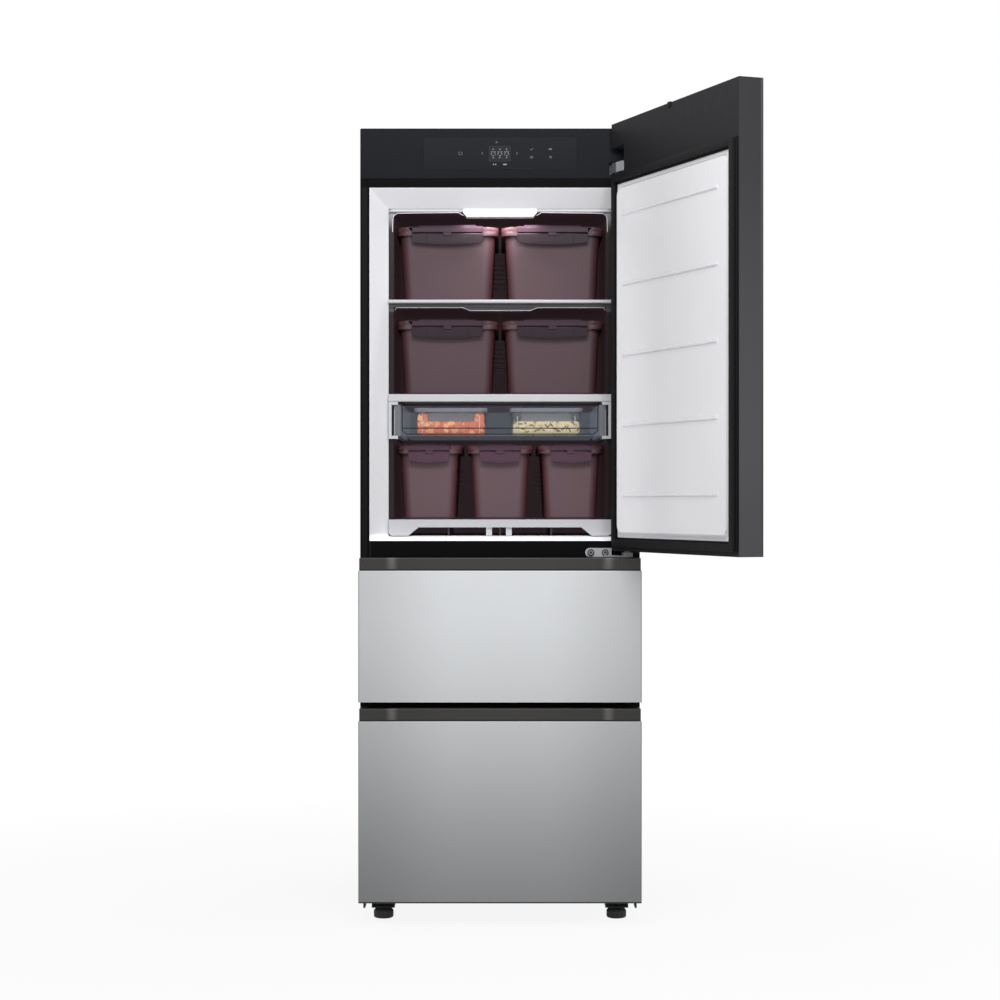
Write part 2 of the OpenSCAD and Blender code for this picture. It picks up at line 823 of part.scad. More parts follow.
// Slotted rear cover with the cord's grommet
module compressor_cover() {
    x1 = half_w - cover_inset - seat;
    z0 = base_top + 10 + seat;
    z1 = machine_z - 5 - seat;
    slot_margin = 45;
    pitch = 2 * (x1 - slot_margin) / slot_count;
    grommet = [x1 - 28, back_y - 1, z0 + 22];
    color("#2a2b2e") {
        difference() {
            union() {
                slab([-x1, back_y - 3, z0], [x1, back_y - 1, z1]);
                slab([-x1, back_y - 12, z0], [x1, back_y - 3 + eps, z0 + 2]);
                slab([-x1, back_y - 12, z1 - 2], [x1, back_y - 3 + eps, z1]);
            }
            for (i = [0 : slot_count - 1], z = [z0 + 50, z0 + 130, z0 + 210 - 15]) {
                translate([-x1 + slot_margin + (i + 0.5) * pitch, back_y - 2, z])
                    cube([7, 6, 58], center = true);
            }
            translate(grommet) rotate([90, 0, 0]) cylinder(r = 9, h = 20, center = true);
        }
        // Grommet with its cord bore
        translate(grommet) rotate([90, 0, 0]) difference() {
            union() {
                translate([0, 0, -0.9]) cylinder(r = 13, h = 0.9);
                translate([0, 0, -0.9]) cylinder(r = 8.7, h = 9);
                translate([0, 0, 2.3]) cylinder(r = 12, h = 2);
            }
            translate([0, 0, -3]) cylinder(r = 4.2, h = 20);
        }
    }
}

// Feet and rollers ------------------------------------------------------------------------------

// Levelling foot: a ribbed knob on a stud with a hexagonal collar
module levelling_foot() {
    edge = 5;
    color("#1c1c1d") difference() {
        union() {
            rotate_extrude() {
                area([0, 0], [foot_r - edge, foot_h - 2]);
                area([0, edge], [foot_r, foot_h - 5]);
                translate([foot_r - edge, edge]) circle(edge);
                polygon([[0, foot_h - 5], [foot_r, foot_h - 5], [foot_r - 4, foot_h], [0, foot_h]]);
            }
            translate([0, 0, foot_h - eps]) cylinder(r = 9, h = hat_z - foot_h - seat, $fn = 6);
            cylinder(r = stud_r, h = base_top + stud_over);
        }
        for (a = [0 : 30 : 330]) rotate([0, 0, a]) translate([foot_r + 1.6, 0, edge + 1]) {
            cylinder(r = 3, h = foot_h, $fn = 24);
        }
    }
}

module foot_right() {
    translate([foot_x, foot_y, 0]) levelling_foot();
}

module foot_left() {
    translate([-foot_x, foot_y, 0]) levelling_foot();
}

// Two rollers on one axle under the back
module rear_rollers() {
    overhang = 8;
    color("#2b2b2c") translate([0, roller_y, roller_r]) rotate([0, 90, 0]) {
        for (x = [-roller_x, roller_x]) translate([0, 0, x - roller_w / 2]) difference() {
            cylinder(r = roller_r, h = roller_w);
            for (z = [-1, roller_w - 3]) translate([0, 0, z]) difference() {
                cylinder(r = roller_r - 4, h = 4);
                cylinder(r = 8, h = 4);
            }
        }
        translate([0, 0, -roller_x - roller_w / 2 - overhang])
            cylinder(r = axle_r, h = 2 * roller_x + roller_w + 2 * overhang);
    }
}

// Upper door ------------------------------------------------------------------------------------

// Turns what is drawn closed to the open door's place
module opened() {
    translate([axis_x, axis_y, 0]) rotate([0, 0, door_angle]) translate([-axis_x, -axis_y, 0]) children();
}

// Arm and pin of the upper hinge, bolted behind the control panel
module top_hinge() {
    plate_y = cab_y + control_t;
    color("silver") {
        translate([0, 0, arm_z[0]]) linear_extrude(arm_z[1] - arm_z[0]) polygon([
            [axis_x - 34, plate_y],
            [axis_x - 34, cab_y - 4],
            [axis_x - 13, axis_y - 9],
            [axis_x + 6, axis_y - 9],
            [axis_x + 8, axis_y + 2],
            [axis_x + 5, cab_y],
            [axis_x + 5, plate_y]
        ]);
        slab([plate_x[0], plate_y, plate_z[0]], [plate_x[1], plate_y + plate_t, plate_z[1]]);
        translate([axis_x, axis_y, recess_z[0] - pin_reach])
            cylinder(r = pin_r, h = recess_z[1] - recess_z[0] + 2 * pin_reach);
    }
}

// Lower hinge: a screwed plate on the mullion with an arm and a pin under the door
module lower_hinge() {
    z0 = middle_z1 + handle_h + 1.2;
    plate_h = 20.8;
    left = axis_x - 97;
    screw_x = [left + 13, left + 47];
    arm_z1 = door_z0 - 4;
    color("silver") {
        along_y(cab_y - 4, cab_y) {
            translate([left + plate_h / 2, z0 + plate_h / 2]) circle(plate_h / 2);
            area([left + plate_h / 2, z0], [left + 62, z0 + plate_h]);
        }
        for (x = screw_x) translate([x, cab_y - 4 + eps, z0 + plate_h / 2]) rotate([90, 0, 0]) {
            difference() {
                cylinder(r = 7, h = 2.6);
                translate([0, 0, 1]) for (a = [0, 90]) rotate([0, 0, a]) cube([8, 1.6, 4], center = true);
            }
        }
        // Arm under the door, notched like a closing cam
        difference() {
            union() {
                translate([0, 0, z0]) linear_extrude(4) polygon([
                    [left + 40, cab_y - 3],
                    [axis_x - 14, axis_y - 8],
                    [axis_x, axis_y - 13],
                    [axis_x + 12, axis_y - 6],
                    [axis_x + 14, cab_y - 3]
                ]);
                translate([axis_x, axis_y, z0]) cylinder(r = 13, h = arm_z1 - z0);
            }
            for (a = [20 : 40 : 340]) translate([axis_x, axis_y, z0 + 5]) rotate([0, 0, a]) {
                translate([13.5, 0, 0]) cylinder(r = 2, h = 20, $fn = 24);
            }
        }
        translate([axis_x, axis_y, z0]) cylinder(r = 8, h = door_z0 - seat - z0);
        translate([axis_x, axis_y, z0]) cylinder(r = pin_r, h = door_z0 + pin_reach - z0);
    }
}

module door_hinges() {
    top_hinge();
    lower_hinge();
}

// Outer steel skin with short turned edges
module door_skin() {
    color("#c9cbcd") opened() difference() {
        slab([-door_half, 0, door_z0], [door_half, skin_edge, door_z1]);
        slab([-door_half + skin_t, skin_t, door_z0 + skin_t],
             [door_half - skin_t, skin_edge + 1, door_z1 - skin_t]);
    }
}

// Dark pan behind the skin, with the hinge recess, the pin sockets and the pull moulded in
module door_frame() {
    color("#3c3c3e") opened() difference() {
        union() {
            difference() {
                union() {
                    slab([-door_half + skin_t, skin_t, door_z0 + skin_t],
                         [door_half - skin_t, skin_edge + eps, door_z1 - skin_t]);
                    slab([-door_half, skin_edge, door_z0], [door_half, front_t, door_z1]);
                }
                door_core(0);
            }
            door_sockets();
        }
        slab([axis_x - 41, axis_y - 22, recess_z[0]], [door_half + 1, front_t + 1, recess_z[1]]);
        for (z = [door_z0 - 1, recess_z[0] - pin_reach - 2, recess_z[1] - 1]) {
            translate([axis_x, axis_y, z]) cylinder(r = pin_r + seat, h = pin_reach + 3);
        }
        door_pull(0);
    }
}

// Solid places in the door's pan: round the hinge recess, at the lower pin and round the pull
module door_sockets() {
    cap = pin_reach + 6;
    slab([axis_x - 41 - pan_t, axis_y - 22 - pan_t, recess_z[0] - cap],
         [door_half - skin_t, front_t - 1, recess_z[1] + cap]);
    slab([axis_x - 20, axis_y - 20, door_z0 + skin_t], [door_half - skin_t, front_t - 1, door_z0 + cap]);
    intersection() {
        door_pull(pan_t);
        slab([-door_half, 0, door_z0 + skin_t], [door_half, front_t, door_z1]);
    }
}

// Pull under the door's lower edge, grown by a wall
module door_pull(grow) {
    translate([0, 0, door_z0 - 1]) linear_extrude(20 + grow)
        round_area([-grip_w / 2 - grow, pull_y - grow], [grow, pull_y + 26 + grow], 8);
}

// Space inside the door's pan, from a depth behind the front
module door_core(y0) {
    slab([-door_half + pan_t, y0, door_z0 + pan_t], [door_half - pan_t, front_t - pan_t, door_z1 - pan_t]);
}

// Foam that fills the door between skin and pan
module door_foam() {
    color("lightyellow") opened() difference() {
        door_core(skin_t);
        door_sockets();
    }
}

// White inner liner, raised inside the gasket, with five cross ribs
module door_liner() {
    x0 = gasket_left + gasket_w + 1;
    x1 = gasket_right - gasket_lip - 1;
    z0 = gasket_z0 + gasket_w;
    z1 = gasket_z1 - gasket_w;
    field_y = front_t + plug_h;
    rib_h = 4;
    edge = 8;
    slope = 5;
    r = 22;
    rib_x0 = x0 + 52;
    rib_x1 = x1 - 52;
    color("#dcdcde") opened() {
        along_y(front_t, front_t + 2) area([x0, z0], [x1, z1]);
        hull() for (step = [[front_t + 2 - eps, 0], [field_y - 1, slope]]) {
            inset = edge + step[1];
            along_y(step[0], step[0] + 1)
                round_area([x0 + inset, z0 + inset], [x1 - inset, z1 - inset], r - step[1], $fn = 32);
        }
        for (i = [0 : 4]) translate([0, 0, sill_z + 109 + i * rib_pitch]) along_x(rib_x0, rib_x1)
            polygon([[field_y - 1, -5], [field_y + rib_h, -3], [field_y + rib_h, 3], [field_y - 1, 5]]);
    }
}

// Frame of one gasket: a flat base and a hollow-looking lip set in from it
module gasket_frame(x0, x1, z0, z1, base_right) {
    along_y(front_t, front_t + 4) difference() {
        area([x0, z0], [base_right, z1]);
        area([x0 + gasket_w, z0 + gasket_w], [x1 - gasket_lip, z1 - gasket_w]);
    }
    along_y(front_t + 4 - eps, front_t + 7) difference() {
        round_area([x0 + 4, z0 + 4], [x1 - 3, z1 - 4], 6);
        round_area([x0 + gasket_lip + 2, z0 + gasket_lip + 2],
                   [x1 - gasket_lip + 3, z1 - gasket_lip - 2], 4);
    }
    along_y(front_t + 7 - eps, front_t + gasket_tip) difference() {
        round_area([x0 + 1, z0 + 1], [x1, z1 - 1], 8);
        round_area([x0 + gasket_lip + 5, z0 + gasket_lip + 5], [x1 - gasket_lip, z1 - gasket_lip - 5], 4);
    }
}

// Door gasket, and the small rubber stop at the top edge
module door_gasket() {
    color("#161617") opened() {
        gasket_frame(gasket_left, gasket_right, gasket_z0, gasket_z1, gasket_right + 11);
        slab([axis_x - 294, front_t, door_z1 - 10], [axis_x - 281, front_t + 2.5, door_z1 + 1.8]);
        slab([axis_x - 294, front_t - 9, door_z1], [axis_x - 281, front_t + eps, door_z1 + 1.8]);
    }
}

// Drawers ---------------------------------------------------------------------------------------

// Steel front panel with turned edges
module front_panel(z0, h) {
    edge = 8;
    t = 1.5;
    color("#c4c6c8") difference() {
        slab([-half_w, 0, z0], [half_w, edge, z0 + h]);
        slab([-half_w + t, t, z0 + t], [half_w - t, edge + 1, z0 + h - t]);
    }
}

// How deep the front of the handle trim is scooped at a distance from the middle
function scoop(x) =
    let (flat = grip_w / 2 - 16, run = 36, deep = 3)
    x < flat ? deep : x > flat + run ? 0 : deep * (1 + cos(180 * (x - flat) / run)) / 2;

// Dark metal trim along the top of a drawer: a scooped lip and a finger channel behind it
module handle_trim(z0) {
    lip_t = 6;
    floor_t = 6;
    half = half_w - 2;
    z1 = z0 + handle_h;
    steps = [for (i = [-12 : 12]) i / 12];
    color("#423e3b") difference() {
        slab([-half, 0, z0], [half, front_t, z1]);
        translate([0, 0, z0 + floor_t]) linear_extrude(handle_h)
            round_area([-grip_w / 2, lip_t], [grip_w / 2, lip_t + grip_d], 8);
        translate([0, 0, z0 - 1]) linear_extrude(handle_h + 2) polygon(concat(
            [[-half, -1]],
            [for (s = steps) let (x = s * (grip_w / 2 + 20)) [x, scoop(abs(x)) - (abs(s) == 1 ? 1 : 0)]],
            [[half, -1]]
        ));
    }
}

// White foamed inner panel with a raised field behind the bin's front
module inner_panel(z0, h, open) {
    t = 1.5;
    edge = 8;
    field = opening_half - 16;
    color("whitesmoke") {
        slab([-half_w + t, t, z0 + t], [half_w - t, edge + eps, z0 + h - t]);
        slab([-half_w, edge, z0], [half_w, front_t, z0 + h]);
        along_y(front_t - eps, cab_y - 0.5)
            round_area([-field, open[0] + 6], [field, min(open[1] - 6, z0 + h)], 12);
    }
}

// Drawer gasket around the compartment's opening
module drawer_gasket(open) {
    x = opening_half - 3;
    w = gasket_w;
    color("#161617") along_y(front_t, cab_y - 0.6) difference() {
        round_area([-x - w, open[0] - w + 1], [x + w, open[1] + w - 1], 8);
        round_area([-x + 3, open[0] + 3], [x - 3, open[1] - 3], 4);
    }
}

// Bin with a rim and a pair of runners that ride in the fixed rails
module drawer_bin(open, back, rail_z) {
    y0 = cab_y - 0.5;
    depth = back - 20 - y0;
    z0 = open[0] + 8;
    z1 = open[1] - 14;
    r = 18;
    runner_y1 = back - 25;
    color("#e4e6e8") {
        difference() {
            union() {
                translate([0, y0, z0]) linear_extrude(z1 - z0) plan(2 * bin_half, depth, r);
                translate([0, y0, z1 - 4]) linear_extrude(4) plan(2 * bin_half + 8, depth, r + 4);
            }
            translate([0, y0 + bin_t, z0 + 3]) linear_extrude(z1)
                plan(2 * (bin_half - bin_t), depth - 2 * bin_t, r - bin_t);
        }
        both_sides() along_y(y0 + 22, runner_y1) {
            area([bin_half - eps, rail_z + 3 + seat], [opening_half - 3, rail_z + 6 + seat]);
            area([bin_half - eps, rail_z + 3 + seat], [bin_half + 2.5, rail_z + rail_h - 8]);
        }
        for (i = [-2 : 2]) slab([i * 90 - 1.5, y0 + 30, z0 - 5], [i * 90 + 1.5, y0 + depth - 30, z0 + eps]);
    }
}

module middle_front_panel() { front_panel(middle_z0, middle_panel_h); }
module middle_handle() { handle_trim(middle_z1); }
module middle_inner_panel() { inner_panel(middle_z0, middle_panel_h, middle_open); }
module middle_gasket() { drawer_gasket(middle_open); }
module middle_bin() { drawer_bin(middle_open, middle_back, middle_z1 - rail_drop); }
module lower_front_panel() { front_panel(lower_z0, lower_panel_h); }
module lower_handle() { handle_trim(lower_z1); }
module lower_inner_panel() { inner_panel(lower_z0, lower_panel_h, lower_open); }
module lower_gasket() { drawer_gasket(lower_open); }
module lower_bin() { drawer_bin(lower_open, lower_back, lower_z1 - rail_drop); }

// Side dish tray and its boxes ------------------------------------------------------------------

// Clear pull-out tray with a hollow slide on each side
module side_dish_tray() {
    slide_x = tray_half + 4;
    slide_end = lined_half - 3.6;
    color("#8a9096") {
        difference() {
            union() {
                along_y(tray_y0, tray_y1) round_area([-tray_half, tray_z0], [tray_half, tray_z1], 7);
                slab([-tray_half, tray_y0, tray_z1 - 20], [tray_half, tray_y1, tray_z1]);
            }
            along_y(tray_y0 + tray_t, tray_y1 - tray_t) {
                round_area([-tray_half + tray_t, tray_z0 + tray_t], [tray_half - tray_t, tray_z1 + 20], 5);
            }
        }
        // Ledges across the front
        for (z = [tray_z0 + 15, tray_z0 + 43]) {
            slab([-tray_half + 4, tray_y0 - 1, z], [tray_half - 4, tray_y0 + eps, z + 1.5]);
        }
        both_sides() {
            along_y(tray_y0 + 2, tray_y1) {
                difference() {
                    area([slide_x, tray_z0], [slide_end, tray_z1 + 2]);
                    area([slide_x + 2, tray_z0 + 2], [slide_end - 2, tray_z1]);
                }
                for (z = [tray_z0 + 10, tray_z1 - 12]) area([tray_half - eps, z], [slide_x + eps, z + 3]);
            }
            slab([slide_x, tray_y0 + 1, tray_z0], [slide_end, tray_y0 + 3, tray_z1 + 2]);
        }
    }
}

// One side dish box with its sunken lid
module dish_box() {
    wall = 1.8;
    r = 14;
    lid_t = 9.5;
    lid_over = 5;
    sunk = 20;
    well = 22;
    body_h = dish_h - lid_t;
    translate([0, tray_y0 + 9, tray_z0 + tray_t]) {
        difference() {
            dish_block(0, 0, body_h, r);
            dish_block(wall, wall, body_h, r - wall);
        }
        translate([0, 0, body_h]) difference() {
            union() {
                dish_block(-lid_over, seat, lid_t, r + 3);
                dish_block(well, -sunk, sunk + 1, 10);
            }
            dish_block(well + wall, wall - sunk, lid_t + sunk, 10 - wall);
        }
    }
}

// Block with round upright edges, set in from the box's outline
module dish_block(inset, z, h, r) {
    translate([0, inset, z]) linear_extrude(h) plan(dish_w - 2 * inset, dish_d - 2 * inset, r);
}

module side_dish_boxes() {
    color("#cfd3d6") for (side = [-1, 1]) {
        translate([dish_shift + side * (dish_w + dish_gap) / 2, 0, 0]) dish_box();
    }
}

// Kimchi boxes ----------------------------------------------------------------------------------

// Tub: a tapered body with soft lower edges under a flat rim
module tub(w) {
    body_top = split_z - rim_h;
    r = 24;
    soft = 6;
    difference() {
        union() {
            hull() {
                tub_layer(w, rim_w + box_taper + soft, 0, r - 4);
                tub_layer(w, rim_w + box_taper, soft, r);
                tub_layer(w, rim_w, body_top, r);
            }
            translate([0, 0, body_top]) linear_extrude(rim_h) plan(w, box_d, r + 4);
        }
        hull() {
            tub_layer(w, rim_w + box_taper + box_t + 3, box_t, r - 5);
            tub_layer(w, rim_w + box_t, split_z + 1, r - 2);
        }
        // Hollow under the rim
        translate([0, 0, body_top - 1]) linear_extrude(rim_h - 1.5) difference() {
            translate([0, box_t]) plan(w - 2 * box_t, box_d - 2 * box_t, r + 2);
            translate([0, rim_w]) plan(w - 2 * rim_w, box_d - 2 * rim_w, r);
        }
    }
}

module tub_layer(w, inset, z, r) {
    translate([0, inset, z]) linear_extrude(0.5) plan(w - 2 * inset, box_d - 2 * inset, r, $fn = 32);
}

// Lid: a bordered plate with a raised field and the latch's cover and lug in front
module lid(w, latch_w) {
    cover_z = pivot_z + 5;
    cover_front = pivot_y - latch_t - 0.3;
    cover_top = box_h + 3;
    difference() {
        union() {
            translate([0, 0, split_z]) linear_extrude(lid_h - 3) plan(w, box_d, 28);
            translate([0, 5, box_h - 3 - eps]) linear_extrude(2) plan(w - 10, box_d - 10, 24);
            translate([0, 26, box_h - 2]) linear_extrude(2) plan(w - 52, box_d - 52, 20);
            // Cover over the latch's pivot
            along_x(-latch_w / 2, latch_w / 2) polygon([
                [cover_front, cover_z],
                [-0.4, cover_z],
                [-0.4, split_z],
                [14, box_h - 3],
                [14, cover_top - 3],
                [cover_front + 4, cover_top - 3],
                [cover_front, cover_top - 7]
            ]);
            along_x(-latch_w * 0.405, latch_w * 0.405) polygon([
                [cover_front + 1, cover_top - 7],
                [14, cover_top - 7],
                [14, cover_top - 2],
                [11, cover_top],
                [cover_front + 6, cover_top],
                [cover_front + 1, cover_top - 4]
            ]);
            slab([-9.7, pivot_y - 2.5, pivot_z - 3], [9.7, -0.4, cover_z + eps]);
        }
        translate([0, 9, split_z - 1]) linear_extrude(lid_h - 5) plan(w - 18, box_d - 18, 20);
    }
    translate([-17, pivot_y, pivot_z]) rotate([0, 90, 0]) cylinder(r = latch_pin_r, h = 34);
}

// Latch flap with a curved lower edge, its sleeves and the hook under the rim
module latch(latch_w) {
    sleeve_r = 3.2;
    bow = 5.5;
    bow_r = (latch_w * latch_w / 4 + bow * bow) / (2 * bow);
    z0 = pivot_z - latch_drop;
    button = latch_w * 0.295;
    difference() {
        union() {
            along_y(pivot_y - latch_t, pivot_y) intersection() {
                area([-latch_w / 2, z0], [latch_w / 2, pivot_z]);
                translate([0, z0 + bow_r]) circle(bow_r, $fn = 256);
            }
            translate([-latch_w / 2, pivot_y, pivot_z]) rotate([0, 90, 0])
                cylinder(r = sleeve_r, h = latch_w);
            // Middle button field
            slab([-button, pivot_y - latch_t - 0.8, z0 + 4],
                 [button, pivot_y - latch_t + eps, pivot_z - 5.5]);
            // Hook under the rim
            slab([-latch_w * 0.35, pivot_y - eps, pivot_z - 11], [latch_w * 0.35, 2, pivot_z - 7]);
        }
        slab([-10, pivot_y - sleeve_r - 1, pivot_z - sleeve_r - 1], [10, 1, pivot_z + sleeve_r + 1]);
        translate([-18, pivot_y, pivot_z]) rotate([0, 90, 0]) cylinder(r = latch_pin_r + seat, h = 36);
    }
}

// Where each box stands: large boxes 1 to 4 on the shelves, small boxes 5 to 7 on the floor tray
function box_place(i) =
    i <= 2 ? [(i == 1 ? -1 : 1) * large_x, box_y, high_shelf_z] :
    i <= 4 ? [(i == 3 ? -1 : 1) * large_x, box_y, low_shelf_z] :
    [(i - 6) * small_x, box_y, deck_z];
function box_w(i) = i <= 4 ? large_w : small_w;
function latch_w(i) = i <= 4 ? large_latch_w : small_latch_w;

// Moves the refrigerator, drawn round its own middle, onto its left foot
module placed() {
    translate([foot_x, -foot_y, 0]) children();
}

module tub_at(i) { color("#6a5a5e") translate(box_place(i)) tub(box_w(i)); }
module lid_at(i) { color("#6f5a62") translate(box_place(i)) lid(box_w(i), latch_w(i)); }
module latch_at(i) { color("#4a3a44") translate(box_place(i)) latch(latch_w(i)); }

placed() cabinet_shell();
placed() back_panel();
placed() base_pan();
placed() insulation();
placed() front_frame();
placed() control_panel();
placed() display_window();
placed() compartment_liners();
placed() steel_lining();
placed() ceiling_lamp();
placed() shelves();
placed() floor_tray();
placed() rear_duct_cover();
placed() drawer_rails();
placed() compressor();
placed() condenser();
placed() compressor_cover();
placed() door_hinges();
placed() condenser_fan();
placed() foot_left();
placed() foot_right();
placed() rear_rollers();
placed() door_skin();
placed() door_frame();
placed() door_foam();
placed() door_liner();
placed() door_gasket();
placed() middle_front_panel();
placed() middle_handle();
placed() middle_inner_panel();
placed() middle_gasket();
placed() middle_bin();
placed() lower_front_panel();
placed() lower_handle();
placed() lower_inner_panel();
placed() lower_gasket();
placed() lower_bin();
placed() side_dish_tray();
placed() side_dish_boxes();
placed() tub_at(1);  // tub_1
placed() tub_at(2);  // tub_2
placed() tub_at(3);  // tub_3
placed() tub_at(4);  // tub_4
placed() tub_at(5);  // tub_5
placed() tub_at(6);  // tub_6
placed() tub_at(7);  // tub_7
placed() lid_at(1);  // lid_1
placed() lid_at(2);  // lid_2
placed() lid_at(3);  // lid_3
placed() lid_at(4);  // lid_4
placed() lid_at(5);  // lid_5
placed() lid_at(6);  // lid_6
placed() lid_at(7);  // lid_7
placed() latch_at(1);  // latch_1
placed() latch_at(2);  // latch_2
placed() latch_at(3);  // latch_3
placed() latch_at(4);  // latch_4
placed() latch_at(5);  // latch_5
placed() latch_at(6);  // latch_6
placed() latch_at(7);  // latch_7
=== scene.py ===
import math
from random import Random

import bpy
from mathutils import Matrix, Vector


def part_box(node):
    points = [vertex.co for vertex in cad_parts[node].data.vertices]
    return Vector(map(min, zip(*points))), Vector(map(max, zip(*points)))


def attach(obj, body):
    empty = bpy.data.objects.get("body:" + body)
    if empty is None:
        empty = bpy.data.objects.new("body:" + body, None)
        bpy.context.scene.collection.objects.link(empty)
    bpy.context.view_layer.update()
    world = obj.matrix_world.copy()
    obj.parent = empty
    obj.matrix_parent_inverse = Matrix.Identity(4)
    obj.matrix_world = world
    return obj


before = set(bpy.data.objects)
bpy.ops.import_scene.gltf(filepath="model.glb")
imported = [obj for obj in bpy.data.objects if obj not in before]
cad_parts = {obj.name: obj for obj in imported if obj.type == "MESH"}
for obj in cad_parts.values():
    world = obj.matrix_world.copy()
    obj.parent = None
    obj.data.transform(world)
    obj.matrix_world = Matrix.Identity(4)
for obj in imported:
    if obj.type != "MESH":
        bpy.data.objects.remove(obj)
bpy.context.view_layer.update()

bl_info = {
    "name": "Kimchi Refrigerator",
    "version": (1, 0, 0),
    "blender": (4, 5, 0),
    "location": "3D View > Sidebar > Refrigerator",
    "description": "Dresses a stand-type kimchi refrigerator with its finishes and fine pieces",
    "category": "Object",
}

MM = 0.001

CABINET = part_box("cabinet_shell")
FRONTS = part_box("middle_front_panel")
# The floor under the middle of the closed fronts. Lengths and places below are in millimetres from
# here, unless they say otherwise.
ORIGIN = Vector(((CABINET[0].x + CABINET[1].x) / 2, FRONTS[0].y, 0))
HALF_WIDTH = (FRONTS[1].x - FRONTS[0].x) / 2 / MM
DRAWERS = ("middle", "lower")

# The open door: how far it is turned, and the place of its hinge axis
DOOR_ANGLE = math.radians(111)
DOOR_AXIS = (298, 30)


def spot(x, y, z):
    """A place in the scene's own units."""
    return ORIGIN + Vector((x, y, z)) * MM


def extent(name):
    """The low and high corners of a node."""
    return [(corner - ORIGIN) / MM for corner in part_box(name)]


def door_way(x, y):
    """A direction of the closed door, turned to where it points on the open one."""
    cosine, sine = math.cos(DOOR_ANGLE), math.sin(DOOR_ANGLE)
    return (x * cosine - y * sine, x * sine + y * cosine, 0)


def linear(colour):
    """The linear colour of a six-digit screen code. Any other colour is linear already."""
    if not isinstance(colour, str):
        return tuple(colour)
    parts = [int(colour[i:i + 2], 16) / 255 for i in (0, 2, 4)]
    return tuple(c / 12.92 if c <= 0.04045 else ((c + 0.055) / 1.055) ** 2.4 for c in parts)


def colour_property(name, description, code):
    """A colour that a user can change, given as a six-digit screen code."""
    return bpy.props.FloatVectorProperty(
        name=name, description=description, default=linear(code), subtype="COLOR", size=3, min=0, max=1)


def length_property(name, description, default):
    """A length in metres that a user can change."""
    return bpy.props.FloatProperty(name=name, description=description, default=default, unit="LENGTH")


class FinishColours(bpy.types.PropertyGroup):
    """Colours of the refrigerator's finishes"""
    front_steel: colour_property("Front steel", "Satin steel of the drawer fronts and the door", "bcbec0")
    side_grey: colour_property("Side paint", "Painted sides of the cabinet", "48484a")
    door_grey: colour_property("Door pan", "Painted edges of the open door", "474649")
    frame_black: colour_property("Frame", "Coated frame around the openings", "0a0a0c")
    panel_charcoal: colour_property("Panel", "Housing of the control panel", "17191d")
    icon_pale: colour_property("Icons", "Printed icons on the display window", "a2a3a7")
    liner_white: colour_property("Liner", "Moulded white liners", "e4e4e7")
    # Its plum tint is partly a painted reflection of the plum boxes.
    lining_dark: colour_property("Lining", "Dark steel lining of the upper compartment", "3c2c30")
    shelf_silver: colour_property("Shelves", "Silver white shelf fronts and floor tray", "c5c6ca")
    tub_plum: colour_property("Tubs", "Plum brown plastic of the kimchi boxes", "69545a")
    latch_plum: colour_property("Latches", "Darker plum of the latch flaps", "513747")
    tray_smoke: colour_property("Tray", "Smoky clear plastic of the side dish tray", "7f858f")
    handle_brown: colour_property("Handles", "Dark brown metal of the handle trims", "343332")
    zinc: colour_property("Zinc", "Plated drawer rails", "c4c5c8")


class StudioSettings(bpy.types.PropertyGroup):
    """Camera and lamps of the studio"""
    camera_distance: length_property("Camera distance", "Camera in front of the closed fronts", 5.263)
    camera_height: length_property("Camera height", "Camera above the floor", 0.990)
    lens: bpy.props.FloatProperty(
        name="Lens", description="Focal length on a 36 mm sensor", default=81.36, unit="CAMERA")
    key_power: bpy.props.FloatProperty(
        name="Key lamp", description="Power of the lamp above the front", default=24, unit="POWER")
    fill_power: bpy.props.FloatProperty(
        name="Fill lamps", description="Power of each lamp beside the camera", default=8, unit="POWER")
    ceiling_power: bpy.props.FloatProperty(
        name="Ceiling lamp", description="Power of the lit lamp in the ceiling", default=0.6, unit="POWER")
    world_light: bpy.props.FloatProperty(
        name="Room light", description="Strength of the light from all around", default=0.36, min=0, max=2)


class DetailSizes(bpy.types.PropertyGroup):
    """Sizes of the fine pieces"""
    edge_round: length_property("Edge rounding", "Rounding of moulded edges", 0.0012)
    icon_depth: length_property("Icon thickness", "How far printed icons stand proud", 0.0002)
    polished_edge: length_property("Polished edges", "Radius of the polished edges", 0.0009)


# Material helpers ------------------------------------------------------------------------------


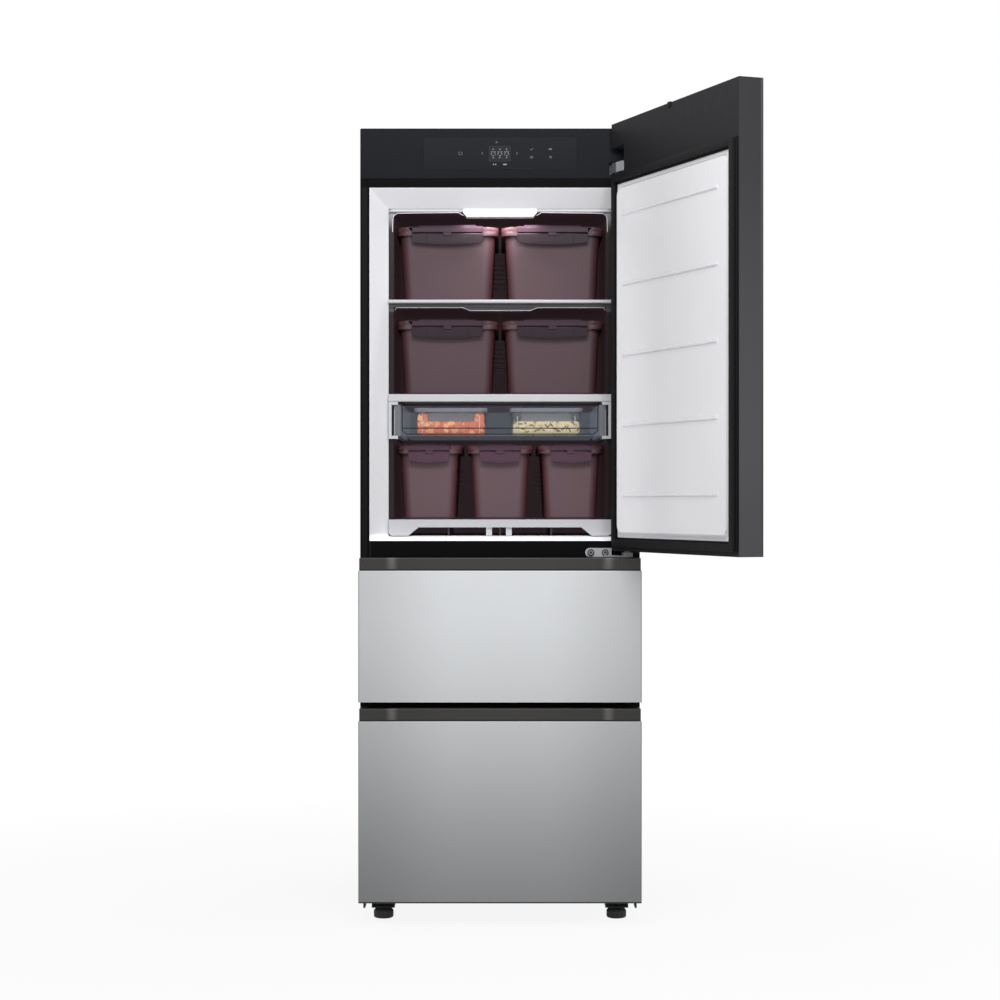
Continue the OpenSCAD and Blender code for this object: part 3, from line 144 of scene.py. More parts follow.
class Finish:
    """A new material with its shader, and short ways to add texture nodes to it."""

    def __init__(self, name, colour, roughness, metallic=0.0, gloss=0.5):
        self.name = name
        self.material = bpy.data.materials.new(name)
        self.material.use_nodes = True
        self.tree = self.material.node_tree
        self.shader = self.tree.nodes["Principled BSDF"]
        self.coordinates = self.node("ShaderNodeTexCoord").outputs
        self.feed("Base Color", (*linear(colour), 1))
        self.feed("Roughness", roughness)
        self.feed("Metallic", metallic)
        self.feed("Specular IOR Level", gloss)

    def put(self, value, socket):
        """Gives a socket a constant, or what another node puts out."""
        if isinstance(value, bpy.types.NodeSocket):
            self.tree.links.new(value, socket)
        else:
            socket.default_value = value

    def feed(self, socket, value):
        """Gives the shader's socket a constant, or what another node puts out."""
        self.put(value, self.shader.inputs[socket])

    def node(self, kind, inputs=None, **settings):
        """A new node with its settings, and with its inputs set or linked."""
        made = self.tree.nodes.new(kind)
        for key, value in settings.items():
            setattr(made, key, value)
        for key, value in (inputs or {}).items():
            self.put(value, made.inputs[key])
        return made

    def calculate(self, operation, *values):
        return self.node("ShaderNodeMath", dict(enumerate(values)), operation=operation).outputs["Value"]

    def both(self, first, second):
        """1 where two masks are 1."""
        return self.calculate("MULTIPLY", first, second)

    def either(self, first, second):
        """1 where one of two masks is 1."""
        return self.calculate("MAXIMUM", first, second)

    def noise(self, scale, stretch=(1, 1, 1), detail=3):
        stretched = self.node("ShaderNodeMapping", {"Vector": self.coordinates["Object"], "Scale": stretch})
        inputs = {"Vector": stretched.outputs["Vector"], "Scale": scale, "Detail": detail}
        return self.node("ShaderNodeTexNoise", inputs).outputs["Fac"]

    def ranged(self, value, low, high):
        """A texture value moved to a range."""
        inputs = {"Value": value, "To Min": low, "To Max": high}
        return self.node("ShaderNodeMapRange", inputs).outputs["Result"]

    def ramp(self, value, start, end, low=0, high=1):
        """A smooth step from low to high while a value goes from start to end."""
        inputs = {"Value": value, "From Min": start, "From Max": end, "To Min": low, "To Max": high}
        return self.node("ShaderNodeMapRange", inputs, interpolation_type="SMOOTHSTEP").outputs["Result"]

    def above(self, value, limit, soft):
        """1 where a value is past a limit."""
        return self.ramp(value, limit - soft, limit + soft)

    def below(self, value, limit, soft):
        """1 where a value is short of a limit."""
        return self.ramp(value, limit - soft, limit + soft, 1, 0)

    def band(self, value, low, high, soft):
        """1 while a value lies between two limits."""
        return self.both(self.above(value, low, soft), self.below(value, high, soft))

    def measured(self):
        """The place of the surface."""
        inputs = {"Vector": self.coordinates["Object"], "Location": -ORIGIN / MM, "Scale": (1 / MM,) * 3}
        return self.node("ShaderNodeMapping", inputs).outputs["Vector"]

    def place(self, axis):
        """One coordinate of the surface."""
        return self.node("ShaderNodeSeparateXYZ", {"Vector": self.measured()}).outputs[axis]

    def from_middle(self):
        """The sideways distance from the refrigerator's middle."""
        return self.calculate("ABSOLUTE", self.place("X"))

    def from_hinge(self):
        """The level distance from the door's hinge axis."""
        flat = self.node("ShaderNodeVectorMath", {0: self.measured(), 1: (1, 1, 0)}, operation="MULTIPLY")
        ends = {0: flat.outputs["Vector"], 1: (*DOOR_AXIS, 0)}
        return self.node("ShaderNodeVectorMath", ends, operation="DISTANCE").outputs["Value"]

    def facing(self, direction, soft=0.4):
        """1 on the faces that look in a direction."""
        inputs = {0: self.coordinates["Normal"], 1: direction}
        likeness = self.node("ShaderNodeVectorMath", inputs, operation="DOT_PRODUCT")
        return self.ramp(likeness.outputs["Value"], 1 - soft, 1)

    def mix_into(self, blend, mask, value):
        """Blends a colour or a factor into the base colour by a mask."""
        base = self.shader.inputs["Base Color"]
        under = base.links[0].from_socket if base.is_linked else base.default_value
        inputs = {"Factor": mask, "A": under, "B": value}
        mix = self.node("ShaderNodeMix", inputs, data_type="RGBA", blend_type=blend)
        self.put(mix.outputs["Result"], base)
        return self

    def tint(self, mask, colour):
        """Moves the base colour to another one where a mask is 1."""
        return self.mix_into("MIX", mask, (*linear(colour), 1))

    def shade(self, factor):
        """Multiplies the base colour by a factor that changes over the surface."""
        return self.mix_into("MULTIPLY", 1, factor)

    def shade_where(self, mask, factor):
        """Multiplies the base colour by a factor where a mask is 1."""
        return self.shade(self.ramp(mask, 0, 1, 1, factor))

    def shade_height(self, top, bottom, light, dark):
        """Paints light and shade from one height to another, as a soft reflection would give."""
        return self.shade(self.ramp(self.place("Z"), top, bottom, light, dark))

    def vary_roughness(self, value, low, high):
        self.feed("Roughness", self.ranged(value, low, high))
        return self

    def vary_colour(self, value, low, high):
        """Lightens and darkens the base colour a little by a texture value."""
        return self.shade(self.ranged(value, low, high))

    def bump(self, value, strength, distance):
        inputs = {"Height": value, "Strength": strength, "Distance": distance}
        self.feed("Normal", self.node("ShaderNodeBump", inputs).outputs["Normal"])
        return self

    def glow(self, colour, strength):
        """Gives the surface a light of its own: the lamp's light on its lens, a painted glow on every other
        part.
        """
        self.feed("Emission Color", (*linear(colour), 1))
        self.feed("Emission Strength", strength)


# Kinds of finish -------------------------------------------------------------------------------

LEVEL_GRAIN = (0.02, 1, 1)
DEEP_GRAIN = (1, 0.03, 1)
EVEN_GRAIN = (1, 1, 1)
DULL = 0.03
LEFT, RIGHT, UP, DOWN = (-1, 0, 0), (1, 0, 0), (0, 0, 1), (0, 0, -1)


def grained_steel(name, colour, roughness, stretch, metallic=0.4, gloss=0.5):
    """Steel with a fine grain drawn out along one axis."""
    finish = Finish(name, colour, roughness, metallic, gloss)
    grain = finish.noise(900, stretch, detail=2)
    finish.vary_roughness(grain, roughness - 0.05, roughness + 0.06)
    finish.vary_colour(finish.noise(3, detail=1), 0.97, 1.02)
    return finish.bump(grain, 0.03, 0.0002)


def moulded_plastic(name, colour, roughness, gloss=0.5):
    """Plastic with a faint flow pattern and the fine grain of a mould."""
    finish = Finish(name, colour, roughness, gloss=gloss)
    finish.vary_roughness(finish.noise(60), roughness - 0.04, roughness + 0.06)
    finish.vary_colour(finish.noise(6, detail=1), 0.97, 1.03)
    return finish.bump(finish.noise(700, detail=1), 0.05, 0.0002)


def painted_sheet(name, colour, roughness, metallic=0.15, gloss=0.5):
    """Powder-coated sheet with a very fine orange peel."""
    finish = Finish(name, colour, roughness, metallic, gloss)
    finish.vary_roughness(finish.noise(40), roughness - 0.04, roughness + 0.05)
    finish.vary_colour(finish.noise(4, detail=1), 0.96, 1.03)
    return finish.bump(finish.noise(450, detail=2), 0.06, 0.0002)


def galvanised_sheet():
    """Zinc-coated rear sheet with its spangle."""
    finish = Finish("galvanised_sheet", "9fa1a4", 0.42, metallic=0.9)
    inputs = {"Vector": finish.coordinates["Object"], "Scale": 90}
    spangle = finish.node("ShaderNodeTexVoronoi", inputs).outputs["Distance"]
    finish.vary_roughness(spangle, 0.34, 0.52)
    return finish.vary_colour(spangle, 0.9, 1.05)


def insulation_foam():
    """Pale yellow foam with open pores."""
    finish = Finish("insulation_foam", "e9dfb4", 0.9)
    finish.vary_colour(finish.noise(30), 0.88, 1.05)
    return finish.bump(finish.noise(260), 0.4, 0.0008)


def gasket_rubber():
    """Dull black rubber of the gaskets."""
    finish = Finish("gasket_rubber", "141415", 0.55, gloss=0.12)
    finish.vary_roughness(finish.noise(90), 0.5, 0.66)
    return finish.bump(finish.noise(800), 0.1, 0.0002)


def lit_food(name, colour, fleck, share, size):
    """Cut food with flecks of another colour, and a painted glow for the light of the lamp inside."""
    finish = Finish(name, colour, 0.35)
    finish.tint(finish.ramp(finish.noise(size), share, share + 0.03), fleck)
    finish.vary_colour(finish.noise(40), 0.8, 1.15)
    finish.bump(finish.noise(180), 0.3, 0.0008)
    # Painted glow in the food's own colour, standing in for the light of the lamp inside.
    finish.feed("Emission Color", finish.shader.inputs["Base Color"].links[0].from_socket)
    finish.feed("Emission Strength", 0.35)
    return finish


# Finishes of single pieces ---------------------------------------------------------------------


def front_steel(colour):
    """The fronts' steel, with painted light at the top, painted shade towards the bottom and sides, painted
    highlights on the upper and lower edges, and painted shade on the foot and the turned sides.
    """
    painted_highlight_width, turned_side = 2, 2
    finish = grained_steel("front_steel", colour, 0.5, LEVEL_GRAIN, 0.3)
    # Painted light and shade: lighter at the top, darker towards the bottom.
    finish.shade_height(top=760, bottom=-60, light=1.26, dark=0.43)
    across, height = finish.from_middle(), finish.place("Z")
    # Painted shade towards the sides.
    finish.shade(finish.ramp(across, 90, 350, 1.0, 0.77))
    middle, lower = extent("middle_front_panel"), extent("lower_front_panel")
    # Painted highlights along the upper and lower edges.
    for edge in (middle[1].z, middle[0].z + painted_highlight_width, lower[1].z):
        finish.shade_where(finish.band(height, edge - painted_highlight_width, edge, 0.5), 1.12)
    # Painted shade: a dark line along the foot of the lower front.
    foot = lower[0].z + 3
    finish.tint(finish.ramp(height, foot + 0.8, foot), "1c1c1d")
    # Painted shade on the turned sides.
    side = HALF_WIDTH - turned_side
    finish.tint(finish.ramp(across, side, side + 0.8), "4c4d4e")
    return finish


def drawer_body(colour):
    """White inner body of a drawer front, with its sides and underside painted grey."""
    finish = moulded_plastic("drawer_body", colour, 0.32)
    for way in (RIGHT, LEFT, DOWN):
        finish.tint(finish.facing(way), "48494b")
    return finish


def handle_metal(colour):
    """Dark metal of the handle trims, with painted light in the middle and painted shade towards the ends,
    a painted reflection at each end of the scoop, and a painted highlight along the top.
    """
    scoop_end, dark_foot, painted_highlight_rim, turned_end = 252, 3.4, 2.4, 4
    finish = grained_steel("handle_brown", colour, 0.34, LEVEL_GRAIN, 0.6)
    across, height = finish.from_middle(), finish.place("Z")
    # Painted light and shade: lighter in the middle, darker towards the ends.
    finish.shade(finish.ramp(across, 50, 300, 1.1, 0.86))
    # Painted reflection at each end of the scoop.
    finish.tint(finish.band(across, scoop_end - 5.5, scoop_end + 5.5, 13), "65625f")
    for drawer in DRAWERS:
        low, high = extent(drawer + "_handle")
        finish.tint(finish.band(height, low.z - 1, low.z + dark_foot, 0.5), "1c1b1b")
        # Painted highlight along the top of each trim.
        finish.shade_where(finish.band(height, high.z - painted_highlight_rim, high.z + 1, 0.5), 1.35)
    finish.tint(finish.above(across, HALF_WIDTH - turned_end, 0.4), "121111")
    return finish


def floor_tray_silver(colour):
    """Silver white floor tray, with its ribs darkened by painted shade behind the front strip."""
    strip_back, rib_top = 114.5, 935.5
    finish = moulded_plastic("floor_tray_silver", colour, 0.3)
    behind = finish.above(finish.place("Y"), strip_back, 0.5)
    # Painted shade on the ribs behind the front strip.
    finish.tint(finish.both(behind, finish.below(finish.place("Z"), rib_top, 0.5)), "2a2124")
    return finish


def hinge_steel():
    """Dull steel of the hinges, lighter on the lower one and on the end of the upper arm, with painted
    shade on the faces that look left.
    """
    between_hinges, arm_end = 901, 272.5
    finish = grained_steel("hinge_steel", "86878b", 0.6, EVEN_GRAIN, 0, gloss=0.08)
    height = finish.place("Z")
    finish.tint(finish.below(height, between_hinges, 1), "b9babd")
    # Painted shade on the faces that look left.
    finish.tint(finish.facing(LEFT), "4c4d50")
    end = finish.above(finish.from_middle(), arm_end, 0.5)
    finish.tint(finish.both(end, finish.above(height, between_hinges, 1)), "a4a5a9")
    return finish


def lamp_diffuser():
    """Lit lens of the ceiling lamp: bright in front, shaded underneath, with a seam across it."""
    finish = Finish("lamp_diffuser", (0.5, 0.5, 0.52), 0.4)
    top, height = extent("ceiling_lamp")[1].z, finish.place("Z")
    lens = finish.both(finish.ramp(finish.facing(DOWN, 0.9), 0, 0.6, 1, 0),
                       finish.ramp(height, top - 3, top - 8, 0.45, 1))
    seam = finish.band(height, top - 5.7, top - 4.5, 0.5)
    lens = finish.both(lens, finish.ramp(seam, 0, 1, 1, 0.3))
    finish.glow("ffffff", finish.ramp(lens, 0, 1, 0.02, 1.6))
    return finish.bump(finish.noise(400), 0.03, 0.0001)


def frame_coating(colour):
    """Black coating of the frame, with a charcoal strip and a thin bright lip down each pillar."""
    lip, strip, outer_side, top_bar = 306.5, 313, 326, 60
    finish = painted_sheet("frame_black", colour, 0.5, 0, gloss=0.04)
    across, liner_top = finish.from_middle(), extent("compartment_liners")[1].z
    finish.tint(finish.above(across, strip, 0.5), "171718")
    finish.tint(finish.band(across, lip - 1, lip + 1, 0.5), "29292b")
    finish.tint(finish.above(across, outer_side, 0.5), "060606")
    finish.tint(finish.band(finish.place("Z"), liner_top, liner_top + top_bar, 1), "040405")
    return finish


def liner_white(colour):
    """White of the liners, with painted light that brightens the sill of the upper compartment."""
    finish = moulded_plastic("liner_white", colour, 0.32)
    # Painted light on the sill, up to nearly twice as bright.
    return finish.shade_height(top=912, bottom=900, light=1.0, dark=1.9)


def door_paint(colour):
    """Painted pan of the door, with painted light and shade: darker towards its top, lighter lower down,
    and darkest on its inner face.
    """
    finish = painted_sheet("door_paint", colour, 0.5, 0, gloss=0.08)
    # Painted light and shade: darker at the top, lighter lower down.
    finish.shade_height(top=1900, bottom=1000, light=0.52, dark=1.38)
    # Painted shade on the inner face.
    return finish.tint(finish.facing(door_way(0, 1)), "202023")


def door_steel(colour):
    """The door's outer steel, with its turned edges painted as the pan."""
    finish = grained_steel("door_steel", "3a3a3c", 0.5, LEVEL_GRAIN, 0.2)
    return finish.tint(finish.facing(door_way(0, -1)), colour)


def door_white(colour):
    """White of the door's liner, with painted light that evens it out down to its foot and near the hinge,
    and painted light and shade on the ribs' faces.
    """
    finish = moulded_plastic("door_white", colour, 0.5, gloss=0.25)
    # Painted light: lighter towards the foot.
    finish.shade_height(top=1750, bottom=900, light=0.94, dark=1.16)
    # Painted light near the hinge.
    finish.shade(finish.ramp(finish.from_hinge(), 40, 280, 1.24, 1.0))
    # Painted light and shade on the ribs: darker on faces that look up and sideways, lighter on those that
    # look down.
    for way, factor in ((UP, 0.62), (DOWN, 1.4), (door_way(-1, 0), 0.72), (door_way(1, 0), 0.72)):
        finish.shade_where(finish.facing(way, 0.8), factor)
    return finish


def lining_steel(colour):
    """Dark steel of the walls, with painted light in grey and lighter steps on the bezel, a grey strip on
    the duct's front, and a painted glow on the walls behind the front.
    """
    trim_back, gap_tone = 118.5, "0c0c0d"
    # The walls' plum tint is partly a painted reflection of the boxes.
    finish = grained_steel("lining_steel", colour, 0.3, DEEP_GRAIN, 0.35, gloss=0.3)
    height, front = finish.place("Z"), finish.below(finish.place("Y"), trim_back, 0.5)
    top, ceiling = extent("steel_lining")[1].z, extent("ceiling_lamp")[0].z + 8.6
    duct = extent("shelves")[1].z - 8
    # Painted light on the rounded bezel, in grey and lighter steps.
    bezel_light_steps = ((ceiling - 46, ceiling - 4, "77757a"), (ceiling + 1, top, "bdbbbf"))
    duct_strip = (duct - 20, duct, "48464a")
    gaps = ((duct - 11.6, duct - 9.6, gap_tone), (ceiling - 1, ceiling + 1.6, gap_tone))
    finish.tint(front, "1c1114")
    for low, high, tone in bezel_light_steps:
        finish.tint(finish.both(front, finish.ramp(height, low, high)), tone)
    for low, high, tone in (duct_strip, *gaps):
        finish.tint(finish.both(front, finish.band(height, low, high, 1)), tone)
    # Painted glow on the walls behind the front; they are no lamp.
    finish.glow("35262a", finish.ramp(front, 0, 1, 0.35, 0))
    return finish


def duct_dark():
    """Rear cover, paler on its middle bulge, with a painted glow."""
    bulge = 58
    finish = moulded_plastic("duct_dark", "3c3438", 0.5, gloss=0.1)
    finish.tint(finish.below(finish.from_middle(), bulge, 0.5), "64565a")
    # Painted glow; the cover is no lamp.
    finish.glow("4a3b3f", 0.3)
    return finish


def box_plum(name, colour, edge, upper_shade, cover=None):
    """Plum plastic of the boxes: a painted tone on the faces that look sideways (shade on the tubs,
    highlight on the lids and latches), painted shade that evens out the upper rows with the lower ones, and
    the colour of the cover over a latch."""
    finish = moulded_plastic(name, colour, 0.34, gloss=0.2)
    # Painted shade (tubs) and painted highlight (lids and latches) on the faces that look sideways.
    for side in (LEFT, RIGHT):
        finish.tint(finish.facing(side, 0.9), edge)
    if cover is not None:
        before_tubs = extent("tub_1")[0].y - 0.2
        finish.tint(finish.below(finish.place("Y"), before_tubs, 0.1), cover)
    # Painted shade on the upper rows, to even them out with the lower ones.
    return finish.shade_height(top=1240, bottom=1140, light=upper_shade, dark=1.0)


def latch_plum(colour):
    """Plum plastic of the latches, with the seams round their push buttons."""
    button_half, between_rows, seam_tone = 49.8, 1195, "160f13"
    # Painted highlight on the sideways faces, and painted shade on the upper rows.
    finish = box_plum("latch_plum", colour, "5a3a44", 0.22)
    across, height = finish.place("X"), finish.place("Z")
    upper = finish.above(height, between_rows, 5)
    for number in (1, 2):
        low, high = extent("latch_%d" % number)
        for side in (-1, 1):
            seam = (low.x + high.x) / 2 + side * button_half
            finish.tint(finish.both(upper, finish.band(across, seam - 1, seam + 1, 0.3)), seam_tone)
    top = extent("latch_5")[1].z
    return finish.tint(finish.band(height, top - 3, top - 1.4, 0.3), seam_tone)


def tray_smoke(colour):
    """Smoky clear plastic: clear in front, dense behind with a painted glow, and frosted on the slides at
    both ends.
    """
    wall, slide_x = 7, 236.25
    finish = moulded_plastic("tray_smoke", colour, 0.12, gloss=0.2)
    behind = finish.above(finish.place("Y"), extent("side_dish_tray")[0].y + wall, 1)
    slide = finish.above(finish.from_middle(), slide_x, 0.25)
    finish.tint(slide, "777a80")
    finish.feed("Alpha", finish.ramp(finish.either(behind, slide), 0, 1, 0.07, 0.9))
    # Painted glow behind the front wall; the tray is no lamp.
    finish.glow("6a707a", finish.ramp(behind, 0, 1, 0, 0.3))
    return finish


def dish_clear():
    """Clear plastic of the side dish boxes, with a smoky lid and well."""
    well_floor, well_front, lid_edge = 33, 21, 53.5
    finish = moulded_plastic("dish_clear", "e6e9ee", 0.1, gloss=0.2)
    low, height = extent("side_dish_boxes")[0], finish.place("Z")
    well = finish.both(finish.above(height, low.z + well_floor, 0.5),
                       finish.above(finish.place("Y"), low.y + well_front, 1))
    smoky = finish.either(well, finish.above(height, low.z + lid_edge, 0.5))
    finish.tint(smoky, "8b8e99")
    finish.feed("Alpha", finish.ramp(smoky, 0, 1, 0.08, 0.85))
    return finish


def make_finishes(colours):
    """Every material of the refrigerator by its name."""
    finishes = (
        front_steel(colours.front_steel),
        door_steel(colours.front_steel),
        painted_sheet("side_paint", colours.side_grey, 0.48, gloss=0.2),
        door_paint(colours.door_grey),
        frame_coating(colours.frame_black),
        moulded_plastic("panel_charcoal", colours.panel_charcoal, 0.3, DULL),
        moulded_plastic("display_window", "1b1c21", 0.22, DULL),
        liner_white(colours.liner_white),
        door_white(colours.liner_white),
        drawer_body(colours.liner_white),
        floor_tray_silver(colours.shelf_silver),
        lining_steel(colours.lining_dark),
        moulded_plastic("shelf_silver", colours.shelf_silver, 0.3),
        duct_dark(),
        # Boxes: the second colour is a painted tone on the sideways faces, shade on the tubs and a
        # highlight on the lids; the number is painted shade on the upper rows.
        box_plum("tub_plum", colours.tub_plum, "5a3338", 0.66),
        box_plum("lid_plum", "6b4a50", "8a5a5e", 0.5, colours.latch_plum),
        latch_plum(colours.latch_plum),
        tray_smoke(colours.tray_smoke),
        moulded_plastic("tray_edge", "2b2e35", 0.3, DULL),
        dish_clear(),
        moulded_plastic("dish_highlight", "dfe3ea", 0.25, DULL),
        handle_metal(colours.handle_brown),
        moulded_plastic("bin_white", "dfe3e6", 0.35),
        grained_steel("zinc_plate", colours.zinc, 0.36, EVEN_GRAIN),
        hinge_steel(),
        grained_steel("polished_line", "d9d8dc", 0.2, LEVEL_GRAIN),
        grained_steel("dark_metal", "2b2b2e", 0.4, EVEN_GRAIN),
        moulded_plastic("black_plastic", "1c1c1d", 0.5, 0.25),
        moulded_plastic("foot_grey", "424342", 0.5, 0.2),
        painted_sheet("black_enamel", "1b1c1e", 0.35, gloss=0.25),
        painted_sheet("base_sheet", "303032", 0.5, gloss=0.15),
        galvanised_sheet(),
        insulation_foam(),
        gasket_rubber(),
        lamp_diffuser(),
        moulded_plastic("icon_print", colours.icon_pale, 0.5, 0.2),
        moulded_plastic("icon_dim", "6c6d71", 0.5, 0.2),
        moulded_plastic("icon_field", "2b2c30", 0.35, DULL),
        moulded_plastic("icon_line", "2c2d31", 0.35, DULL),
        lit_food("food_orange", "cc5600", fleck="e8a868", share=0.6, size=44),
        lit_food("food_peach", "dd8f4a", fleck="c85a0a", share=0.5, size=60),
        lit_food("food_cream", "d8c898", fleck="b9a06a", share=0.6, size=70),
        lit_food("food_green", "4c5a1c", fleck="7a2408", share=0.46, size=90),
    )
    return {finish.name: finish.material for finish in finishes}


NODE_FINISHES = {
    "cabinet_shell": "side_paint", "back_panel": "galvanised_sheet", "base_pan": "base_sheet",
    "insulation": "insulation_foam", "front_frame": "frame_black", "control_panel": "panel_charcoal",
    "display_window": "display_window", "compartment_liners": "liner_white",
    "steel_lining": "lining_steel", "ceiling_lamp": "lamp_diffuser", "shelves": "shelf_silver",
    "floor_tray": "floor_tray_silver", "rear_duct_cover": "duct_dark", "drawer_rails": "zinc_plate",
    "compressor": "black_enamel", "condenser": "black_enamel", "compressor_cover": "black_plastic",
    "door_hinges": "hinge_steel", "condenser_fan": "black_plastic", "foot_left": "foot_grey",
    "foot_right": "foot_grey", "rear_rollers": "black_plastic", "door_skin": "door_steel",
    "door_frame": "door_paint", "door_foam": "insulation_foam", "door_liner": "door_white",
    "door_gasket": "gasket_rubber", "side_dish_tray": "tray_smoke", "side_dish_boxes": "dish_clear",
}
DRAWER_FINISHES = {
    "front_panel": "front_steel", "handle": "handle_brown", "inner_panel": "drawer_body",
    "gasket": "gasket_rubber", "bin": "bin_white",
}
for drawer in DRAWERS:
    for piece_name, finish_name in DRAWER_FINISHES.items():
        NODE_FINISHES[drawer + "_" + piece_name] = finish_name
for number in range(1, 8):
    for piece_name in ("tub", "lid", "latch"):
        NODE_FINISHES["%s_%d" % (piece_name, number)] = piece_name + "_plum"

# Nodes that keep their sharp edges, and how much more or less than usual others are rounded
SHARP_NODES = ("insulation", "drawer_rails", "door_foam", "condenser", "condenser_fan", "display_window",
               "ceiling_lamp")
EDGE_SCALE = {"tub": 1.5, "lid": 0.7, "latch": 0.3, "foot": 0.8, "door_liner": 1.6}

FINISHES = {}


# Modelling helpers -----------------------------------------------------------------------------


def deselect():
    bpy.ops.object.select_all(action="DESELECT")


def set_mode(mode):
    bpy.ops.object.mode_set(mode=mode)


def fix_place():
    """Bakes the active piece's place into its mesh."""
    bpy.ops.object.transform_apply(location=True, rotation=True, scale=True)


def adopt(piece, name, finish, body):
    """Names a finished piece, gives it its finish and lets it ride on a body."""
    piece.name = name
    piece.data.name = name
    piece.data.materials.clear()
    piece.data.materials.append(FINISHES[finish])
    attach(piece, body)


def join(pieces):
    deselect()
    for piece in pieces:
        piece.select_set(True)
    bpy.context.view_layer.objects.active = pieces[0]
    bpy.ops.object.join()
    return bpy.context.object


def select_edges(piece, chosen):
    """Enters edit mode with the edges selected whose two ends pass a test."""
    deselect()
    piece.select_set(True)
    bpy.context.view_layer.objects.active = piece
    set_mode("EDIT")
    bpy.ops.mesh.select_mode(type="EDGE")
    bpy.ops.mesh.select_all(action="DESELECT")
    set_mode("OBJECT")
    corners = piece.data.vertices
    for edge in piece.data.edges:
        start, end = [corners[i].co for i in edge.vertices]
        edge.select = chosen(start, end)
    set_mode("EDIT")


def every_edge(start, end):
    return True


def runs_back(start, end):
    """Test for an edge that runs from the front to the back."""
    return abs((end - start).normalized().y) > 0.99


def add_block(middle, size, turn, chosen, corner, segments):
    """A block about a spot, turned in radians, with the chosen edges rounded."""
    deselect()
    bpy.ops.mesh.primitive_cube_add(size=1, location=middle, rotation=turn)
    block = bpy.context.object
    block.scale = Vector(size) * MM
    fix_place()
    select_edges(block, chosen)
    bpy.ops.mesh.bevel(offset=corner * MM, segments=segments)
    set_mode("OBJECT")
    return block


def add_wire(spots, radius):
    """A round wire through spots, joined by straight stretches."""
    deselect()
    curve = bpy.data.curves.new("wire", "CURVE")
    curve.dimensions = "3D"
    curve.bevel_depth = radius * MM
    curve.bevel_resolution = 2
    curve.use_fill_caps = True
    line = curve.splines.new("POLY")
    line.points.add(len(spots) - 1)
    for point, place in zip(line.points, spots):
        point.co = (*place, 1)
    wire = bpy.data.objects.new("wire", curve)
    bpy.context.collection.objects.link(wire)
    wire.select_set(True)
    bpy.context.view_layer.objects.active = wire
    bpy.ops.object.convert(target="MESH")
    return bpy.context.object


def soften(node, width):
    """Rounds the sharp edges of a node by a width in metres, and leaves its mesh as it is."""
    weld = node.modifiers.new("merge_points", "WELD")
    weld.merge_threshold = 0.00001
    flat = node.modifiers.new("flat_faces", "DECIMATE")
    flat.decimate_type = "DISSOLVE"
    flat.angle_limit = math.radians(0.5)
    bevel = node.modifiers.new("soft_edges", "BEVEL")
    bevel.width = width
    bevel.segments = 2
    bevel.limit_method = "ANGLE"
    bevel.angle_limit = math.radians(35)
    bevel.harden_normals = True


def seen_rays(tree):
    """1 for rays that show the surroundings, 0 for those that light the object."""
    path = tree.nodes.new("ShaderNodeLightPath")
    seen = path.outputs["Is Camera Ray"]
    for kind in ("Is Glossy Ray", "Is Transmission Ray"):
        either = tree.nodes.new("ShaderNodeMath")
        either.operation = "ADD"
        either.use_clamp = True
        tree.links.new(seen, either.inputs[0])
        tree.links.new(path.outputs[kind], either.inputs[1])
        seen = either.outputs["Value"]
    return seen


# Operators -------------------------------------------------------------------------------------


class FRIDGE_OT_finishes(bpy.types.Operator):
    """Give every piece of the refrigerator its finish and soft edges"""
    bl_idname = "fridge.finishes"
    bl_label = "Finishes"

    def execute(self, context):
        FINISHES.update(make_finishes(context.scene.fridge_colours))
        edge_round = context.scene.fridge_sizes.edge_round
        for name, finish in NODE_FINISHES.items():
            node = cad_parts[name]
            for slot in node.material_slots:
                slot.material = FINISHES[finish]
            if name not in SHARP_NODES:
                family = name.rsplit("_", 1)[0]
                soften(node, edge_round * EDGE_SCALE.get(name, EDGE_SCALE.get(family, 1)))
        return {"FINISHED"}


